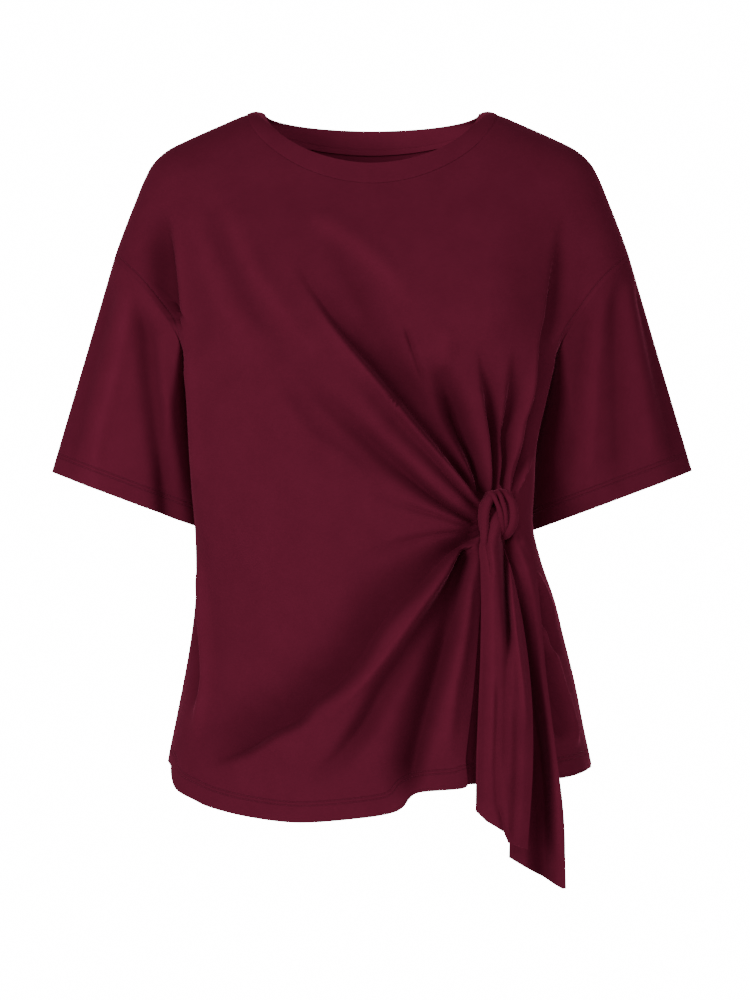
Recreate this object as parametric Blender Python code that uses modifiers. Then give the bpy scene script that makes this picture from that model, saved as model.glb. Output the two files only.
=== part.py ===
import math

import bmesh
import bpy
import numpy as np

# Units: tables are in millimetres, objects in metres.
# x runs to the right as seen from the front, y runs from front to back, and
# "drop" is the height below the points where the neck meets the shoulders.
MM = 0.001
WALL = 1.3
SEAM = 0.5
HALF_GIRTH = 240.0
NECK_HALF_WIDTH = 116.0
NECK_TOP_DROP = 3.2
NECK_FRONT_DROP = 72.3
NECK_BACK_DROP = 33.0
BAND_WIDTH = 18.5
KNOT = (112.5, 376.0)
KNOT_DEPTH = -107.0
KNOT_RING = 12.0
ARM_DEPTH = 50.0
DROP_POINT = 136.0
ARMPIT = 268.0
SIDE_HEM = 603.0
CUFF_CENTRE = (226.0, 2.0, 361.5)
CUFF_HALF_WIDTH = 75.7
CUFF_HALF_DEPTH = 50.0
CUFF_TILT = math.radians(20.5)

# Outline of the shoulder and upper arm. Columns: drop, half width.
RIDGE = (
    (0.0, 106.0), (3.2, 116.0), (13.0, 139.5), (24.5, 165.5), (35.5, 188.0),
    (46.5, 201.0), (63.5, 211.0), (82.0, 218.6), (100.5, 226.0), (136.0, 239.0),
    (200.0, 258.0), (340.0, 299.0),
)
# Line of the armhole below the drop point, seen from the front. Columns: drop, half width.
ARMHOLE = (
    (136.0, 239.0), (147.0, 228.0), (160.0, 214.5), (180.0, 198.5), (205.0, 182.0),
    (219.0, 174.5), (238.0, 167.0), (268.0, 160.0),
)
# Depth at the middle. Columns: drop, front, back.
DEPTH = (
    (0.0, 58.0, 56.0), (50.0, 62.0, 64.0), (72.0, 66.0, 68.0), (110.0, 82.0, 78.0),
    (150.0, 97.0, 87.0), (200.0, 109.0, 93.0), (260.0, 115.0, 94.0),
    (340.0, 116.0, 88.0), (420.0, 115.0, 88.0), (520.0, 118.0, 97.0), (680.0, 126.0, 112.0),
)
# Body below the arms. Columns: drop, then the left half width, its depth and
# the seam's half width, the same three on the right, the depth of the seam,
# and the depth of the back's widest line.
BODY = (
    (180.0, 178.0, -58.0, 172.0, 176.0, -58.0, 170.0, 4.0, 60.0),
    (235.0, 172.0, -62.0, 162.0, 167.0, -60.0, 160.0, 5.0, 62.0),
    (268.0, 169.0, -62.0, 153.0, 159.5, -58.0, 151.0, 6.0, 62.0),
    (310.0, 167.0, -62.0, 146.0, 150.5, -55.0, 141.0, 8.0, 60.0),
    (351.0, 164.5, -60.0, 144.0, 148.3, -50.0, 138.0, 10.0, 57.0),
    (385.0, 162.0, -50.0, 147.0, 147.5, -42.0, 141.0, 12.0, 46.0),
    (417.0, 162.0, -25.0, 157.5, 156.0, -15.0, 153.0, 13.0, 30.0),
    (454.0, 163.7, 0.0, 163.2, 169.3, 2.0, 168.8, 14.0, 18.0),
    (491.0, 168.3, 5.0, 168.0, 178.6, 6.0, 178.2, 15.0, 17.0),
    (528.0, 174.8, 6.0, 174.5, 187.9, 7.0, 187.5, 15.0, 17.0),
    (566.0, 182.3, 6.0, 182.0, 196.2, 7.0, 195.8, 15.0, 17.0),
    (603.0, 189.7, 6.0, 189.4, 204.6, 7.0, 204.2, 15.0, 17.0),
    (660.0, 196.0, 6.0, 195.7, 213.0, 7.0, 212.6, 15.0, 17.0),
)
# Front hem from side to slit and on to the other side. Columns: x, drop.
HEM_LEFT = (
    (-190.0, 603.0), (-186.5, 617.0), (-180.0, 627.0), (-163.0, 634.0), (-146.0, 640.0),
    (-110.0, 647.0), (-65.0, 651.0), (-13.0, 647.0), (20.0, 641.0), (35.0, 629.0),
    (45.0, 623.0), (81.0, 621.0), (87.0, 619.0),
)
HEM_RIGHT = ((88.5, 618.0), (130.0, 616.5), (167.0, 613.5), (195.0, 610.0), (205.0, 603.0))
HEM_BACK_DROP = 618.0

# Largest folds of the front. Columns: depth (inward is negative), then the widths
# on the right hand and the left hand of someone who walks the path as seen from
# the front, and the path itself as (x, drop).
FRONT_FOLDS = (
    (-7.0, 9.0, 12.0, ((94, 381), (34, 340), (-20, 291), (-62, 243))),
    (-5.0, 8.0, 8.0, ((94, 367), (46, 325), (-4, 263), (-22, 232))),
    (-9.0, 10.0, 9.0, ((99, 361), (52, 300), (-15, 221), (-58, 163), (-70, 142))),
    (-10.0, 11.0, 13.0, ((103, 358), (77, 310), (58, 234))),
    (-6.0, 8.0, 8.0, ((110, 355), (106, 303), (96, 217))),
    (-4.5, 8.0, 9.0, ((119, 348), (127, 284), (131, 232))),
    (3.5, 9.0, 9.0, ((121, 350), (133, 300), (148, 235), (165, 150))),
    (-6.0, 16.0, 20.0, ((-34, 124), (8, 205), (44, 264))),
    (-10.0, 14.0, 16.0, ((92, 396), (34, 444), (-14, 511), (-64, 563), (-138, 598))),
    (-7.0, 12.0, 12.0, ((87, 410), (26, 510), (-34, 594), (-70, 627))),
    (-17.0, 14.0, 20.0, ((88, 412), (64, 490), (46, 570), (36, 640))),
    (-15.0, 22.0, 7.0, ((-182, 150), (-180, 200), (-177, 228))),
    (-5.0, 12.0, 14.0, ((-158, 88), (-139, 122), (-118, 174))),
    (6.0, 8.0, 8.0, ((151, 434), (172, 492), (193, 580))),
)
# Plain soft folds of the back, in the same columns.
BACK_FOLDS = (
    (6.0, 22.0, 22.0, ((128, 372), (40, 300), (-60, 190), (-110, 120))),
    (-6.0, 20.0, 20.0, ((126, 366), (70, 270), (40, 150), (30, 90))),
    (6.0, 22.0, 22.0, ((120, 400), (20, 450), (-90, 540), (-140, 600))),
    (-7.0, 22.0, 22.0, ((126, 410), (60, 500), (20, 610))),
)
# Folds of each sleeve, in the same columns with x as half width.
SLEEVE_FOLDS = (
    (5.0, 12.0, 12.0, ((222, 85), (238, 180), (262, 300), (268, 350))),
    (-7.0, 14.0, 14.0, ((206, 178), (199, 270), (190, 360))),
)


def flow(table, at, column=1):
    """Smooth curve through two columns of a table."""
    rows = np.array(table, float)
    x = rows[:, 0]
    y = rows[:, column]
    slope = np.gradient(y, x)
    i = np.clip(np.searchsorted(x, at) - 1, 0, len(x) - 2)
    width = x[i + 1] - x[i]
    t = np.clip((at - x[i]) / width, 0.0, 1.0)
    start = (1 + 2 * t) * (1 - t) ** 2 * y[i] + t * (1 - t) ** 2 * width * slope[i]
    return start + t * t * (3 - 2 * t) * y[i + 1] + t * t * (t - 1) * width * slope[i + 1]


def ease(value, low, high):
    t = np.clip((value - low) / (high - low), 0.0, 1.0)
    return t * t * (3 - 2 * t)


def rounded(path, steps=7):
    """Points along a smooth curve through the path."""
    p = np.array(path, float)
    p = np.vstack([2 * p[0] - p[1], p, 2 * p[-1] - p[-2]])
    out = []
    for a, b, c, d in zip(p[:-3], p[1:-2], p[2:-1], p[3:]):
        for t in np.arange(steps) / steps:
            out.append(b + 0.5 * t * (c - a + t * (2 * a - 5 * b + 4 * c - d + t * (3 * (b - c) + d - a))))
    out.append(p[-2])
    return np.array(out)


def nearest(points, line):
    """Distance, side and place along the line for each point."""
    start = line[:-1]
    span = line[1:] - start
    away = points[:, None, :] - start[None]
    size = (span ** 2).sum(axis=1)
    t = np.clip((away * span).sum(axis=2) / size, 0.0, 1.0)
    off = away - t[..., None] * span
    gap = np.sqrt((off ** 2).sum(axis=2))
    i = gap.argmin(axis=1)
    pick = np.arange(len(points))
    side = span[i, 0] * off[pick, i, 1] - span[i, 1] * off[pick, i, 0]
    along = (i + t[pick, i]) / len(span)
    return gap[pick, i], side, along


def fold_height(folds, x, drop):
    """Height that the folds add, with each fading out at its far end."""
    points = np.stack([x, drop], axis=1)
    total = np.zeros(len(x))
    for depth, right_hand, left_hand, path in folds:
        gap, side, along = nearest(points, rounded(path))
        width = np.where(side > 0, right_hand, left_hand)
        fade = ease(along, -0.12, 0.12) * (1 - ease(along, 0.55, 1.0))
        total += depth * fade * np.exp(-(gap / width) ** 2)
    return total


def upper_half(drop, face):
    """Half of a level section across the shoulder, from the middle to the edge."""
    q = np.linspace(0.0, 1.0, 160)
    edge = flow(RIDGE, drop) if drop <= DROP_POINT else flow(ARMHOLE, drop)
    x = edge * (1 - (1 - q) ** 1.8)
    middle = flow(DEPTH, np.full(160, drop), 1 if face < 0 else 2)
    out = ease(x, 105.0, 205.0)
    depth = middle * (1 - out) + ARM_DEPTH * out
    reach = 85.0 * (1 - out) + 50.0 * out
    levels = np.linspace(0.0, 340.0, 120)
    ridge = np.stack([flow(RIDGE, levels), levels], axis=1)
    ridge = np.vstack([(0.0, 0.0), ridge])
    gap = nearest(np.stack([x, np.full(160, drop)], axis=1), ridge)[0]
    t = np.clip(gap / reach, 0.0, 1.0)
    return np.stack([x, face * depth * np.sqrt(1 - (1 - t) ** 2)], axis=1)


def lower_half(drop, side, face):
    """Half of a level section of the body, on past its widest line to the seam."""
    column = 1 if side < 0 else 4
    wide = flow(BODY, drop, column)
    fore = flow(BODY, drop, column + 1) if face < 0 else flow(BODY, drop, 8)
    seam = flow(BODY, drop, column + 2)
    seam_y = flow(BODY, drop, 7)
    if face > 0:
        wide = seam + 0.6 * (wide - seam)
    middle = flow(DEPTH, drop, 1 if face < 0 else 2) * face
    q = np.linspace(0.0, 1.0, 140)
    across = 1 - (1 - q) ** 2
    front = np.stack([wide * across, fore + (middle - fore) * np.sqrt(1 - across ** 2.5)], axis=1)
    t = np.linspace(0.0, 1.0, 41)[1:]
    turn = seam + (wide - seam) * (1 + np.cos(math.pi * t)) / 2
    return np.vstack([front, np.stack([turn, fore + (seam_y - fore) * t], axis=1)])


def even(section, share=1.0):
    """The section again, at 121 points spaced evenly along it, and its length."""
    step = np.hypot(*np.diff(section, axis=0).T)
    length = np.concatenate([[0.0], np.cumsum(step)])
    at = np.linspace(0.0, share * length[-1], 121)
    along = [np.interp(at, length, section[:, 0]), np.interp(at, length, section[:, 1])]
    return np.stack(along + [np.full(121, share * length[-1])], axis=1)


def cut_share(drop):
    """How much of the section is left inside the lower curve of the armhole."""
    if drop >= ARMPIT:
        return 1.0
    return 0.75 + 0.25 * (max(0.0, drop - 215.0) / (ARMPIT - 215.0)) ** 1.4


LEVELS = np.arange(2.0, 662.0, 2.0)


def sections(side, face):
    rows = []
    for drop in LEVELS:
        low = float(ease(drop, 190.0, 240.0))
        row = np.zeros((121, 3))
        if low < 1:
            row = row + (1 - low) * even(upper_half(min(drop, ARMPIT), face))
        if low > 0:
            row = row + low * even(lower_half(drop, side, face), cut_share(drop))
        rows.append(row)
    return np.array(rows)


BASE = {(side, face): sections(side, face) for side in (-1, 1) for face in (-1, 1)}


def place(face, share, drop):
    """Points on the body, share running from the left seam at -1 to the right at 1.

    The fourth value is the length of the section from the middle to the seam."""
    share = np.asarray(share, float)
    drop = np.asarray(drop, float)
    row = np.clip((drop - LEVELS[0]) / 2.0, 0, len(LEVELS) - 1.001)
    col = np.clip(np.abs(share) * 120.0, 0, 119.9999)
    i = row.astype(int)
    j = col.astype(int)
    a = (row - i)[:, None]
    b = (col - j)[:, None]
    out = np.zeros((len(share), 4))
    for side in (-1, 1):
        base = BASE[(side, face)]
        near = (1 - a) * base[i, j] + a * base[i + 1, j]
        far = (1 - a) * base[i, j + 1] + a * base[i + 1, j + 1]
        point = (1 - b) * near + b * far
        mine = (share < 0) if side < 0 else (share >= 0)
        out[mine, 0] = side * point[mine, 0]
        out[mine, 1] = point[mine, 1]
        out[mine, 3] = point[mine, 2]
    out[:, 2] = -drop
    return out


def unrolled(face, flat):
    """From shares to millimetres along the section."""
    return np.stack([flat[:, 0] * place(face, flat[:, 0], flat[:, 1])[:, 3], flat[:, 1]], axis=1)


def rolled(face, cloth):
    """Points on the body for millimetres along each section."""
    length = place(face, np.sign(cloth[:, 0]), cloth[:, 1])[:, 3]
    return place(face, np.clip(cloth[:, 0] / length, -1.0, 1.0), cloth[:, 1])[:, :3]


def share_at(face, x, drop):
    """The share where the body has this x at this drop, on its near side."""
    out = []
    for value, level in zip(np.atleast_1d(x), np.atleast_1d(drop)):
        row = int(np.clip(round((level - LEVELS[0]) / 2.0), 0, len(LEVELS) - 1))
        base = BASE[(-1 if value < 0 else 1, face)][row]
        peak = int(base[:, 0].argmax()) + 1
        out.append(math.copysign(np.interp(abs(value), base[:peak, 0], np.arange(peak)) / 120.0, value))
    return np.array(out)


def spread(face, flat, count):
    """The same line of shares, cut into equal steps of its length in space."""
    solid = place(face, flat[:, 0], flat[:, 1])[:, :3]
    step = np.sqrt((np.diff(solid, axis=0) ** 2).sum(axis=1))
    length = np.concatenate([[0.0], np.cumsum(step)])
    at = np.linspace(0.0, length[-1], count + 1)
    return np.stack([np.interp(at, length, flat[:, 0]), np.interp(at, length, flat[:, 1])], axis=1)


def side_line(face, side, top, bottom, count):
    drops = np.linspace(top, bottom, 600)
    return spread(face, np.stack([np.full(600, float(side)), drops], axis=1), count)


def neck_line(face, lowest, count):
    t = np.linspace(-math.pi / 2, math.pi / 2, 400)
    x = NECK_HALF_WIDTH * np.sign(np.sin(t)) * np.abs(np.sin(t)) ** 1.06
    drop = NECK_TOP_DROP + (lowest - NECK_TOP_DROP) * np.abs(np.cos(t)) ** 1.25
    flat = np.stack([share_at(face, x, drop), drop], axis=1)
    flat[0] = (-1.0, NECK_TOP_DROP)
    flat[-1] = (1.0, NECK_TOP_DROP)
    return spread(face, flat, count)


def hem_line(table, count):
    rows = rounded(table, 8)
    flat = np.stack([share_at(-1, rows[:, 0], np.full(len(rows), 640.0)), rows[:, 1]], axis=1)
    return spread(-1, flat, count)


def at_fraction(line, fraction):
    index = np.clip(np.asarray(fraction), 0.0, 1.0) * (len(line) - 1)
    rank = np.arange(len(line))
    return np.stack([np.interp(index, rank, line[:, 0]), np.interp(index, rank, line[:, 1])], axis=-1)


def inside(face, outline, across, down):
    """Points on the body at fractions across and down a panel's four-sided outline."""
    top, bottom, left, right = [unrolled(face, line) for line in outline]
    u = np.asarray(across)[:, None]
    near = (1 - np.clip(np.asarray(down)[:, None], 0.0, 1.0)) ** 2.6
    cloth = near * at_fraction(top, across) + (1 - near) * at_fraction(bottom, across)
    cloth += (1 - u) * at_fraction(left, down) + u * at_fraction(right, down)
    cloth -= near * ((1 - u) * top[0] + u * top[-1]) + (1 - near) * ((1 - u) * bottom[0] + u * bottom[-1])
    return rolled(face, cloth)


NECK_STEPS = 14
SHOULDER_STEPS = 8
ARMHOLE_STEPS = 10
SIDE_STEPS = 10
EDGE_STRIP = 2.0
HEM_STEPS = 16
HEM_STEPS_RIGHT = 6


def material(name, colour, rough):
    made = bpy.data.materials.new(name)
    made.use_nodes = True
    shader = made.node_tree.nodes["Principled BSDF"]
    shader.inputs["Base Color"].default_value = (*colour, 1.0)
    shader.inputs["Roughness"].default_value = rough
    made.diffuse_color = (*colour, 1.0)
    return made


def keep(name, grid, closed, colour, folds=None, wall=WALL, facing=-1):
    """A cloth wall over a grid of points, rows by columns."""
    rows, cols = grid.shape[:2]
    bm = bmesh.new()
    verts = [[bm.verts.new([float(c) * MM for c in grid[i, j]]) for j in range(cols)] for i in range(rows)]
    for i in range(rows - 1):
        for j in range(cols if closed else cols - 1):
            k = (j + 1) % cols
            bm.faces.new((verts[i][j], verts[i][k], verts[i + 1][k], verts[i + 1][j]))
    bm.normal_update()
    if folds:
        flat = [v for row in verts for v in row]
        x = np.array([v.co.x for v in flat]) / MM
        drop = -np.array([v.co.z for v in flat]) / MM
        near = np.array([ease(facing * v.normal.y, 0.05, 0.45) for v in flat])
        rise = folds(x, drop, grid.reshape(-1, 3)) * near
        for v, h, normal in zip(flat, rise, [v.normal.copy() for v in flat]):
            v.co += normal * float(h) * MM
    mesh = bpy.data.meshes.new(name)
    bm.to_mesh(mesh)
    bm.free()
    made = bpy.data.objects.new(name, mesh)
    bpy.data.collections[GARMENT].objects.link(made)
    mesh.materials.append(material(name, colour, 0.85))
    shell = made.modifiers.new("Wall", "SOLIDIFY")
    shell.thickness = wall * MM
    shell.offset = 0.0
    shell.use_even_offset = False
    shell.use_rim = True
    return made


GARMENT = "side_knot_t_shirt"
for old in list(bpy.data.objects):
    bpy.data.objects.remove(old, do_unlink=True)
bpy.context.scene.collection.children.link(bpy.data.collections.new(GARMENT))
BURGUNDY = (0.085, 0.010, 0.018)


def panel_top(face, lowest):
    """Shoulder, neck and shoulder again, from left to right."""
    return np.vstack([
        side_line(face, -1, NECK_TOP_DROP, DROP_POINT, SHOULDER_STEPS)[::-1],
        neck_line(face, lowest, NECK_STEPS)[1:],
        side_line(face, 1, NECK_TOP_DROP, DROP_POINT, SHOULDER_STEPS)[1:],
    ])


def panel_side(face, side):
    """Armhole and side seam, downwards."""
    arm = side_line(face, side, DROP_POINT, ARMPIT, ARMHOLE_STEPS)
    return np.vstack([arm, side_line(-1, side, ARMPIT, SIDE_HEM, SIDE_STEPS)[1:]])


def front_outline():
    left_hem = hem_line(HEM_LEFT, HEM_STEPS)
    right_hem = hem_line(HEM_RIGHT, HEM_STEPS_RIGHT)
    left_hem[0] = (-1.0, SIDE_HEM)
    right_hem[-1] = (1.0, SIDE_HEM)
    bottom = np.vstack([left_hem, right_hem])
    return panel_top(-1, NECK_FRONT_DROP), bottom, panel_side(-1, -1), panel_side(-1, 1)


def front_rim(outline):
    """Fractions across and down for every point of the outline, from slit to slit."""
    top, bottom, left, right = outline
    slit = HEM_STEPS / (len(bottom) - 1)
    after = (HEM_STEPS + 1) / (len(bottom) - 1)
    down = np.linspace(1.0, 0.0, len(left))
    over = np.linspace(0.0, 1.0, len(top))
    spans = [
        np.stack([np.linspace(slit, 0.0, HEM_STEPS + 1), np.ones(HEM_STEPS + 1)], axis=1),
        np.stack([np.zeros(len(left)), down], axis=1)[1:],
        np.stack([over, np.zeros(len(top))], axis=1)[1:],
        np.stack([np.ones(len(left)), down[::-1]], axis=1)[1:],
        np.stack([np.linspace(1.0, after, HEM_STEPS_RIGHT + 1), np.ones(HEM_STEPS_RIGHT + 1)], axis=1)[1:],
    ]
    return np.vstack(spans)


def front_grid(outline, rings):
    """Rings round the knot, on rays that end at each point of the outline."""
    edge = front_rim(outline)
    size = np.array([2 * HALF_GIRTH, SIDE_HEM])
    guess = np.stack(np.meshgrid(np.linspace(0.5, 1.0, 121), np.linspace(0.3, 0.9, 121)), axis=-1)
    guess = guess.reshape(-1, 2)
    solid = inside(-1, outline, guess[:, 0], guess[:, 1])
    miss = np.hypot(solid[:, 0] - KNOT[0], solid[:, 2] + KNOT[1]) + 0.05 * np.maximum(0.0, solid[:, 1] + 60)
    centre = guess[miss.argmin()]
    reach = (edge - centre) * size
    length = np.hypot(reach[:, 0], reach[:, 1])[:, None]
    q = np.linspace(0.0, 1.0, rings + 1)
    steps = q - 0.45 * np.sin(2 * math.pi * q) / (2 * math.pi)
    rows = []
    for k, value in enumerate(np.append(steps[:-1], (1.0, 1.0))):
        out = KNOT_RING + (length - KNOT_RING) * value
        if k <= rings:
            out = np.minimum(out, length - EDGE_STRIP)
        flat = centre + reach / length * out / size
        rows.append(inside(-1, outline, flat[:, 0], flat[:, 1]))
    grid = np.array(rows)
    away = np.sqrt(((grid - (KNOT[0], grid[0, :, 1].mean(), -KNOT[1])) ** 2).sum(axis=-1))
    grid[..., 1] += 11.0 * np.exp(-(away / 24.0) ** 2)
    turn = np.arange(len(edge))[::-1] / HEM_STEPS_RIGHT
    under = 1.0 - ease(turn, 0.0, 0.8)
    grid[..., 1] += 7.0 * under * ease(away, 25.0, 120.0)
    return grid


def from_seams(points, seams):
    """Nought on a seam, one well inside the panel."""
    gap = np.full(len(points), 1e9)
    for seam in seams:
        gap = np.minimum(gap, np.sqrt(((points - seam) ** 2).sum(axis=1)))
    return ease(gap, 3.0, 32.0)


def front_folds(x, drop, points):
    away = np.hypot(x - KNOT[0], drop - KNOT[1])
    seams = front[-1, corner[0]:corner[7] + 1]
    return fold_height(FRONT_FOLDS, x, drop) * ease(away, 14.0, 75.0) * from_seams(points, seams)


outline = front_outline()
front = front_grid(outline, 18)
corner = np.cumsum([HEM_STEPS, SIDE_STEPS, ARMHOLE_STEPS, SHOULDER_STEPS, NECK_STEPS,
                    SHOULDER_STEPS, ARMHOLE_STEPS, SIDE_STEPS])
for first, last in ((corner[2], corner[3]), (corner[4], corner[5])):
    front[-1, first:last + 1, 1] = -SEAM / 2
keep("front", front, False, BURGUNDY, front_folds)


def with_strips(count, size):
    """Even fractions, and one more close to each end."""
    strip = EDGE_STRIP / size
    even_steps = np.linspace(0.0, 1.0, count)
    return np.concatenate([[0.0, strip], even_steps[1:-1], [1.0 - strip, 1.0]])


def back_grid():
    top = panel_top(1, NECK_BACK_DROP)
    s = np.linspace(-1.0, 1.0, len(top))
    bottom = np.stack([s, SIDE_HEM + (HEM_BACK_DROP - SIDE_HEM) * (1 - s ** 4)], axis=1)
    sides = [panel_side(1, -1), panel_side(1, 1)]
    u, v = np.meshgrid(with_strips(len(top), 2 * HALF_GIRTH), with_strips(len(sides[0]), SIDE_HEM))
    return inside(1, (top, bottom, *sides), u.ravel(), v.ravel()).reshape(*u.shape, 3)


back = back_grid()
back[0, :SHOULDER_STEPS + 2, 1] = SEAM / 2
back[0, -SHOULDER_STEPS - 2:, 1] = SEAM / 2
back[ARMHOLE_STEPS + 1:, :2, 1] += SEAM
back[ARMHOLE_STEPS + 1:, -2:, 1] += SEAM


def back_folds(x, drop, points):
    seams = np.vstack([back[0], back[:, 0], back[:, -1]])
    return fold_height(BACK_FOLDS, x, drop) * from_seams(points, seams)


keep("back", back, False, BURGUNDY, back_folds, facing=1)


def sleeve_grid(side, front_edge, back_edge, rings):
    """Rings from the armhole to the cuff."""
    loop = np.vstack([front_edge, back_edge[::-1][1:-1]])
    step = np.sqrt((np.diff(np.vstack([loop, loop[:1]]), axis=0) ** 2).sum(axis=1))
    turn = 2 * math.pi * np.concatenate([[0.0], np.cumsum(step)[:-1]]) / step.sum()
    out = CUFF_HALF_WIDTH * np.cos(turn)
    cuff = np.stack([
        side * (CUFF_CENTRE[0] + out * math.cos(CUFF_TILT)),
        CUFF_CENTRE[1] - CUFF_HALF_DEPTH * np.sin(turn),
        -CUFF_CENTRE[2] + out * math.sin(CUFF_TILT),
    ], axis=1)
    along = cuff - loop
    along = along / np.linalg.norm(along, axis=1)[:, None]
    under = ease(-loop[:, 2], 190.0, 230.0)
    start = loop + along * SEAM + under[:, None] * np.array([side * (WALL + 0.8), 0.0, 0.0])
    steps = np.insert(np.linspace(0.0, 1.0, rings + 1), 1, EDGE_STRIP / 200.0)
    return np.array([(1 - t) * start + t * cuff for t in steps])


def sleeve_folds(x, drop, points):
    return fold_height(SLEEVE_FOLDS, np.abs(x), drop) * from_seams(points, points[:ARMHOLE_STEPS * 2])


arm_front = {-1: front[-1, corner[1]:corner[2] + 1][::-1], 1: front[-1, corner[5]:corner[6] + 1]}
arm_rows = [0] + list(range(2, ARMHOLE_STEPS + 2))
arm_back = {-1: back[arm_rows, 0], 1: back[arm_rows, -1]}
for side, name in ((-1, "sleeve_left"), (1, "sleeve_right")):
    grid = sleeve_grid(side, arm_front[side], arm_back[side], 13)
    order = grid if side < 0 else grid[:, ::-1]
    keep(name, order[:, ::-1], True, BURGUNDY, sleeve_folds)


def band_grid():
    behind = back[0, SHOULDER_STEPS + 1:SHOULDER_STEPS + NECK_STEPS + 2]
    lower = np.vstack([front[-1, corner[3]:corner[4] + 1], behind[::-1][1:-1]])
    rows = []
    for q in (0.0, 0.1, 0.3, 0.55, 0.8, 1.0):
        ring = []
        for x, y, z in lower:
            lowest = NECK_FRONT_DROP if y < 0 else NECK_BACK_DROP
            down = max(0.0, (-z - NECK_TOP_DROP) / (lowest - NECK_TOP_DROP))
            top_x = x * (NECK_HALF_WIDTH - BAND_WIDTH + 2) / NECK_HALF_WIDTH
            top_y = y * 0.93
            top_z = -(3.0 + down * (lowest - BAND_WIDTH - 3.0 - 0.8))
            arch = 2.5 * (1 - down) * 4 * q * (1 - q)
            ring.append((x + (top_x - x) * q, y + (top_y - y) * q, z + (top_z - z) * q + arch))
        rows.append(ring)
    grid = np.array(rows)
    up = grid[1] - grid[0]
    grid[0] += up / np.linalg.norm(up, axis=1)[:, None] * 0.9
    return grid


keep("neckband", band_grid(), True, BURGUNDY, wall=1.6)


# Tails of the slit. Columns: drop, left edge, right edge, depth of the left
# edge, middle and right edge, and depth of the groove down the middle.
TIE_FRONT = (
    (396.7, 97.0, 112.0, -108.0, -114.0, -108.0, 2.0),
    (420.0, 98.0, 122.0, -112.0, -120.0, -110.0, 8.0),
    (452.0, 98.5, 131.0, -116.0, -126.0, -112.0, 12.0),
    (500.0, 97.5, 139.0, -118.0, -130.0, -116.0, 10.0),
    (540.0, 96.0, 143.5, -120.0, -133.0, -119.0, 5.0),
    (590.0, 94.0, 144.5, -122.0, -134.0, -122.0, 3.0),
    (662.0, 93.0, 141.0, -124.0, -134.0, -126.0, 2.0),
)
TIE_BACK = (
    (392.9, 120.0, 137.0, -98.0, -104.0, -92.0, 1.0),
    (420.0, 124.0, 148.0, -99.0, -106.0, -90.0, 2.0),
    (460.0, 127.0, 153.0, -100.0, -108.0, -90.0, 3.0),
    (520.0, 128.0, 157.0, -103.0, -110.0, -94.0, 4.0),
    (580.0, 127.0, 165.0, -106.0, -112.0, -100.0, 4.0),
    (640.0, 126.0, 172.0, -108.0, -114.0, -106.0, 3.0),
    (712.0, 125.0, 178.0, -110.0, -116.0, -108.0, 3.0),
)


def tie_grid(table, left_end, right_end, rows, cols):
    """A tail that widens downwards, with a diagonal end."""
    across = np.linspace(0.0, 1.0, cols)
    grid = []
    for t in np.linspace(0.0, 1.0, rows):
        end = left_end + (right_end - left_end) * across
        drop = table[0][0] + (end - table[0][0]) * t
        edge = [flow(table, drop, k) for k in (1, 2, 3, 4, 5, 6)]
        x = edge[0] + (edge[1] - edge[0]) * across
        bow = 4 * across * (1 - across)
        y = (1 - across) * edge[2] + across * edge[4]
        y = y + (edge[3] - (edge[2] + edge[4]) / 2) * bow
        y = y + edge[5] * np.exp(-((across - 0.55) / 0.16) ** 2)
        grid.append(np.stack([x, y, -drop], axis=1))
    return np.array(grid)


keep("tie_front", tie_grid(TIE_FRONT, 655.0, 674.0, 22, 11)[::-1], False, BURGUNDY)
keep("tie_back", tie_grid(TIE_BACK, 688.0, 712.0, 20, 9)[::-1], False, BURGUNDY)


def knot_solid():
    """A squashed ball, creased where the tails wrap each other."""
    bm = bmesh.new()
    bmesh.ops.create_uvsphere(bm, u_segments=26, v_segments=18, radius=1.0)
    for v in bm.verts:
        x, y, z = v.co
        slant = x * 0.80 + z * 0.60
        crease = 0.10 * math.exp(-((slant - 0.10) / 0.16) ** 2)
        crease += 0.08 * math.exp(-((slant + 0.42) / 0.14) ** 2)
        swell = 1.0 - crease * (1.0 if y < 0.2 else 0.3)
        v.co = (KNOT[0] * MM + x * swell * 0.0190, KNOT_DEPTH * MM + y * swell * 0.0170,
                -(KNOT[1] - 0.5) * MM + z * swell * 0.0210)
    mesh = bpy.data.meshes.new("knot")
    bm.to_mesh(mesh)
    bm.free()
    made = bpy.data.objects.new("knot", mesh)
    bpy.data.collections[GARMENT].objects.link(made)
    mesh.materials.append(material("knot", BURGUNDY, 0.85))


knot_solid()
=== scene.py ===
import math

import bpy
import numpy as np
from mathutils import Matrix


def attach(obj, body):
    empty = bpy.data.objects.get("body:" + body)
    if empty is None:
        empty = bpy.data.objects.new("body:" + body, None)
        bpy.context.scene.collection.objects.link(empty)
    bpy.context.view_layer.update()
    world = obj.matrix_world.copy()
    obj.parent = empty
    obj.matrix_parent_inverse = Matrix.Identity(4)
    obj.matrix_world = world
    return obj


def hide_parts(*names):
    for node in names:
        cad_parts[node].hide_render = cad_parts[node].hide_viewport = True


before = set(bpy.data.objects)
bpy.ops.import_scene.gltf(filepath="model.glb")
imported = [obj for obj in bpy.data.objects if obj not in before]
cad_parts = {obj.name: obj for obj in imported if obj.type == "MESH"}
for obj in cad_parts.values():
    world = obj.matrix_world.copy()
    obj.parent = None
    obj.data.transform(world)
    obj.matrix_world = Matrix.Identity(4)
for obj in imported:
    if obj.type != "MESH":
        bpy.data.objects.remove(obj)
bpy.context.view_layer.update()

mm = 0.001
joinWithin = 0.00001  # metres within which two points become one

# Tables are in millimetres: x to the right seen from the front, y from front
# to back, and drop is the height below the neck ends of the shoulders.


# ---- camera at the photograph's angle ----
view = {"x": 2.8, "drop": 361.0, "away": 3500.0, "pixel": 0.93, "wide": 750, "sensor": 36.0}

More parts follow.
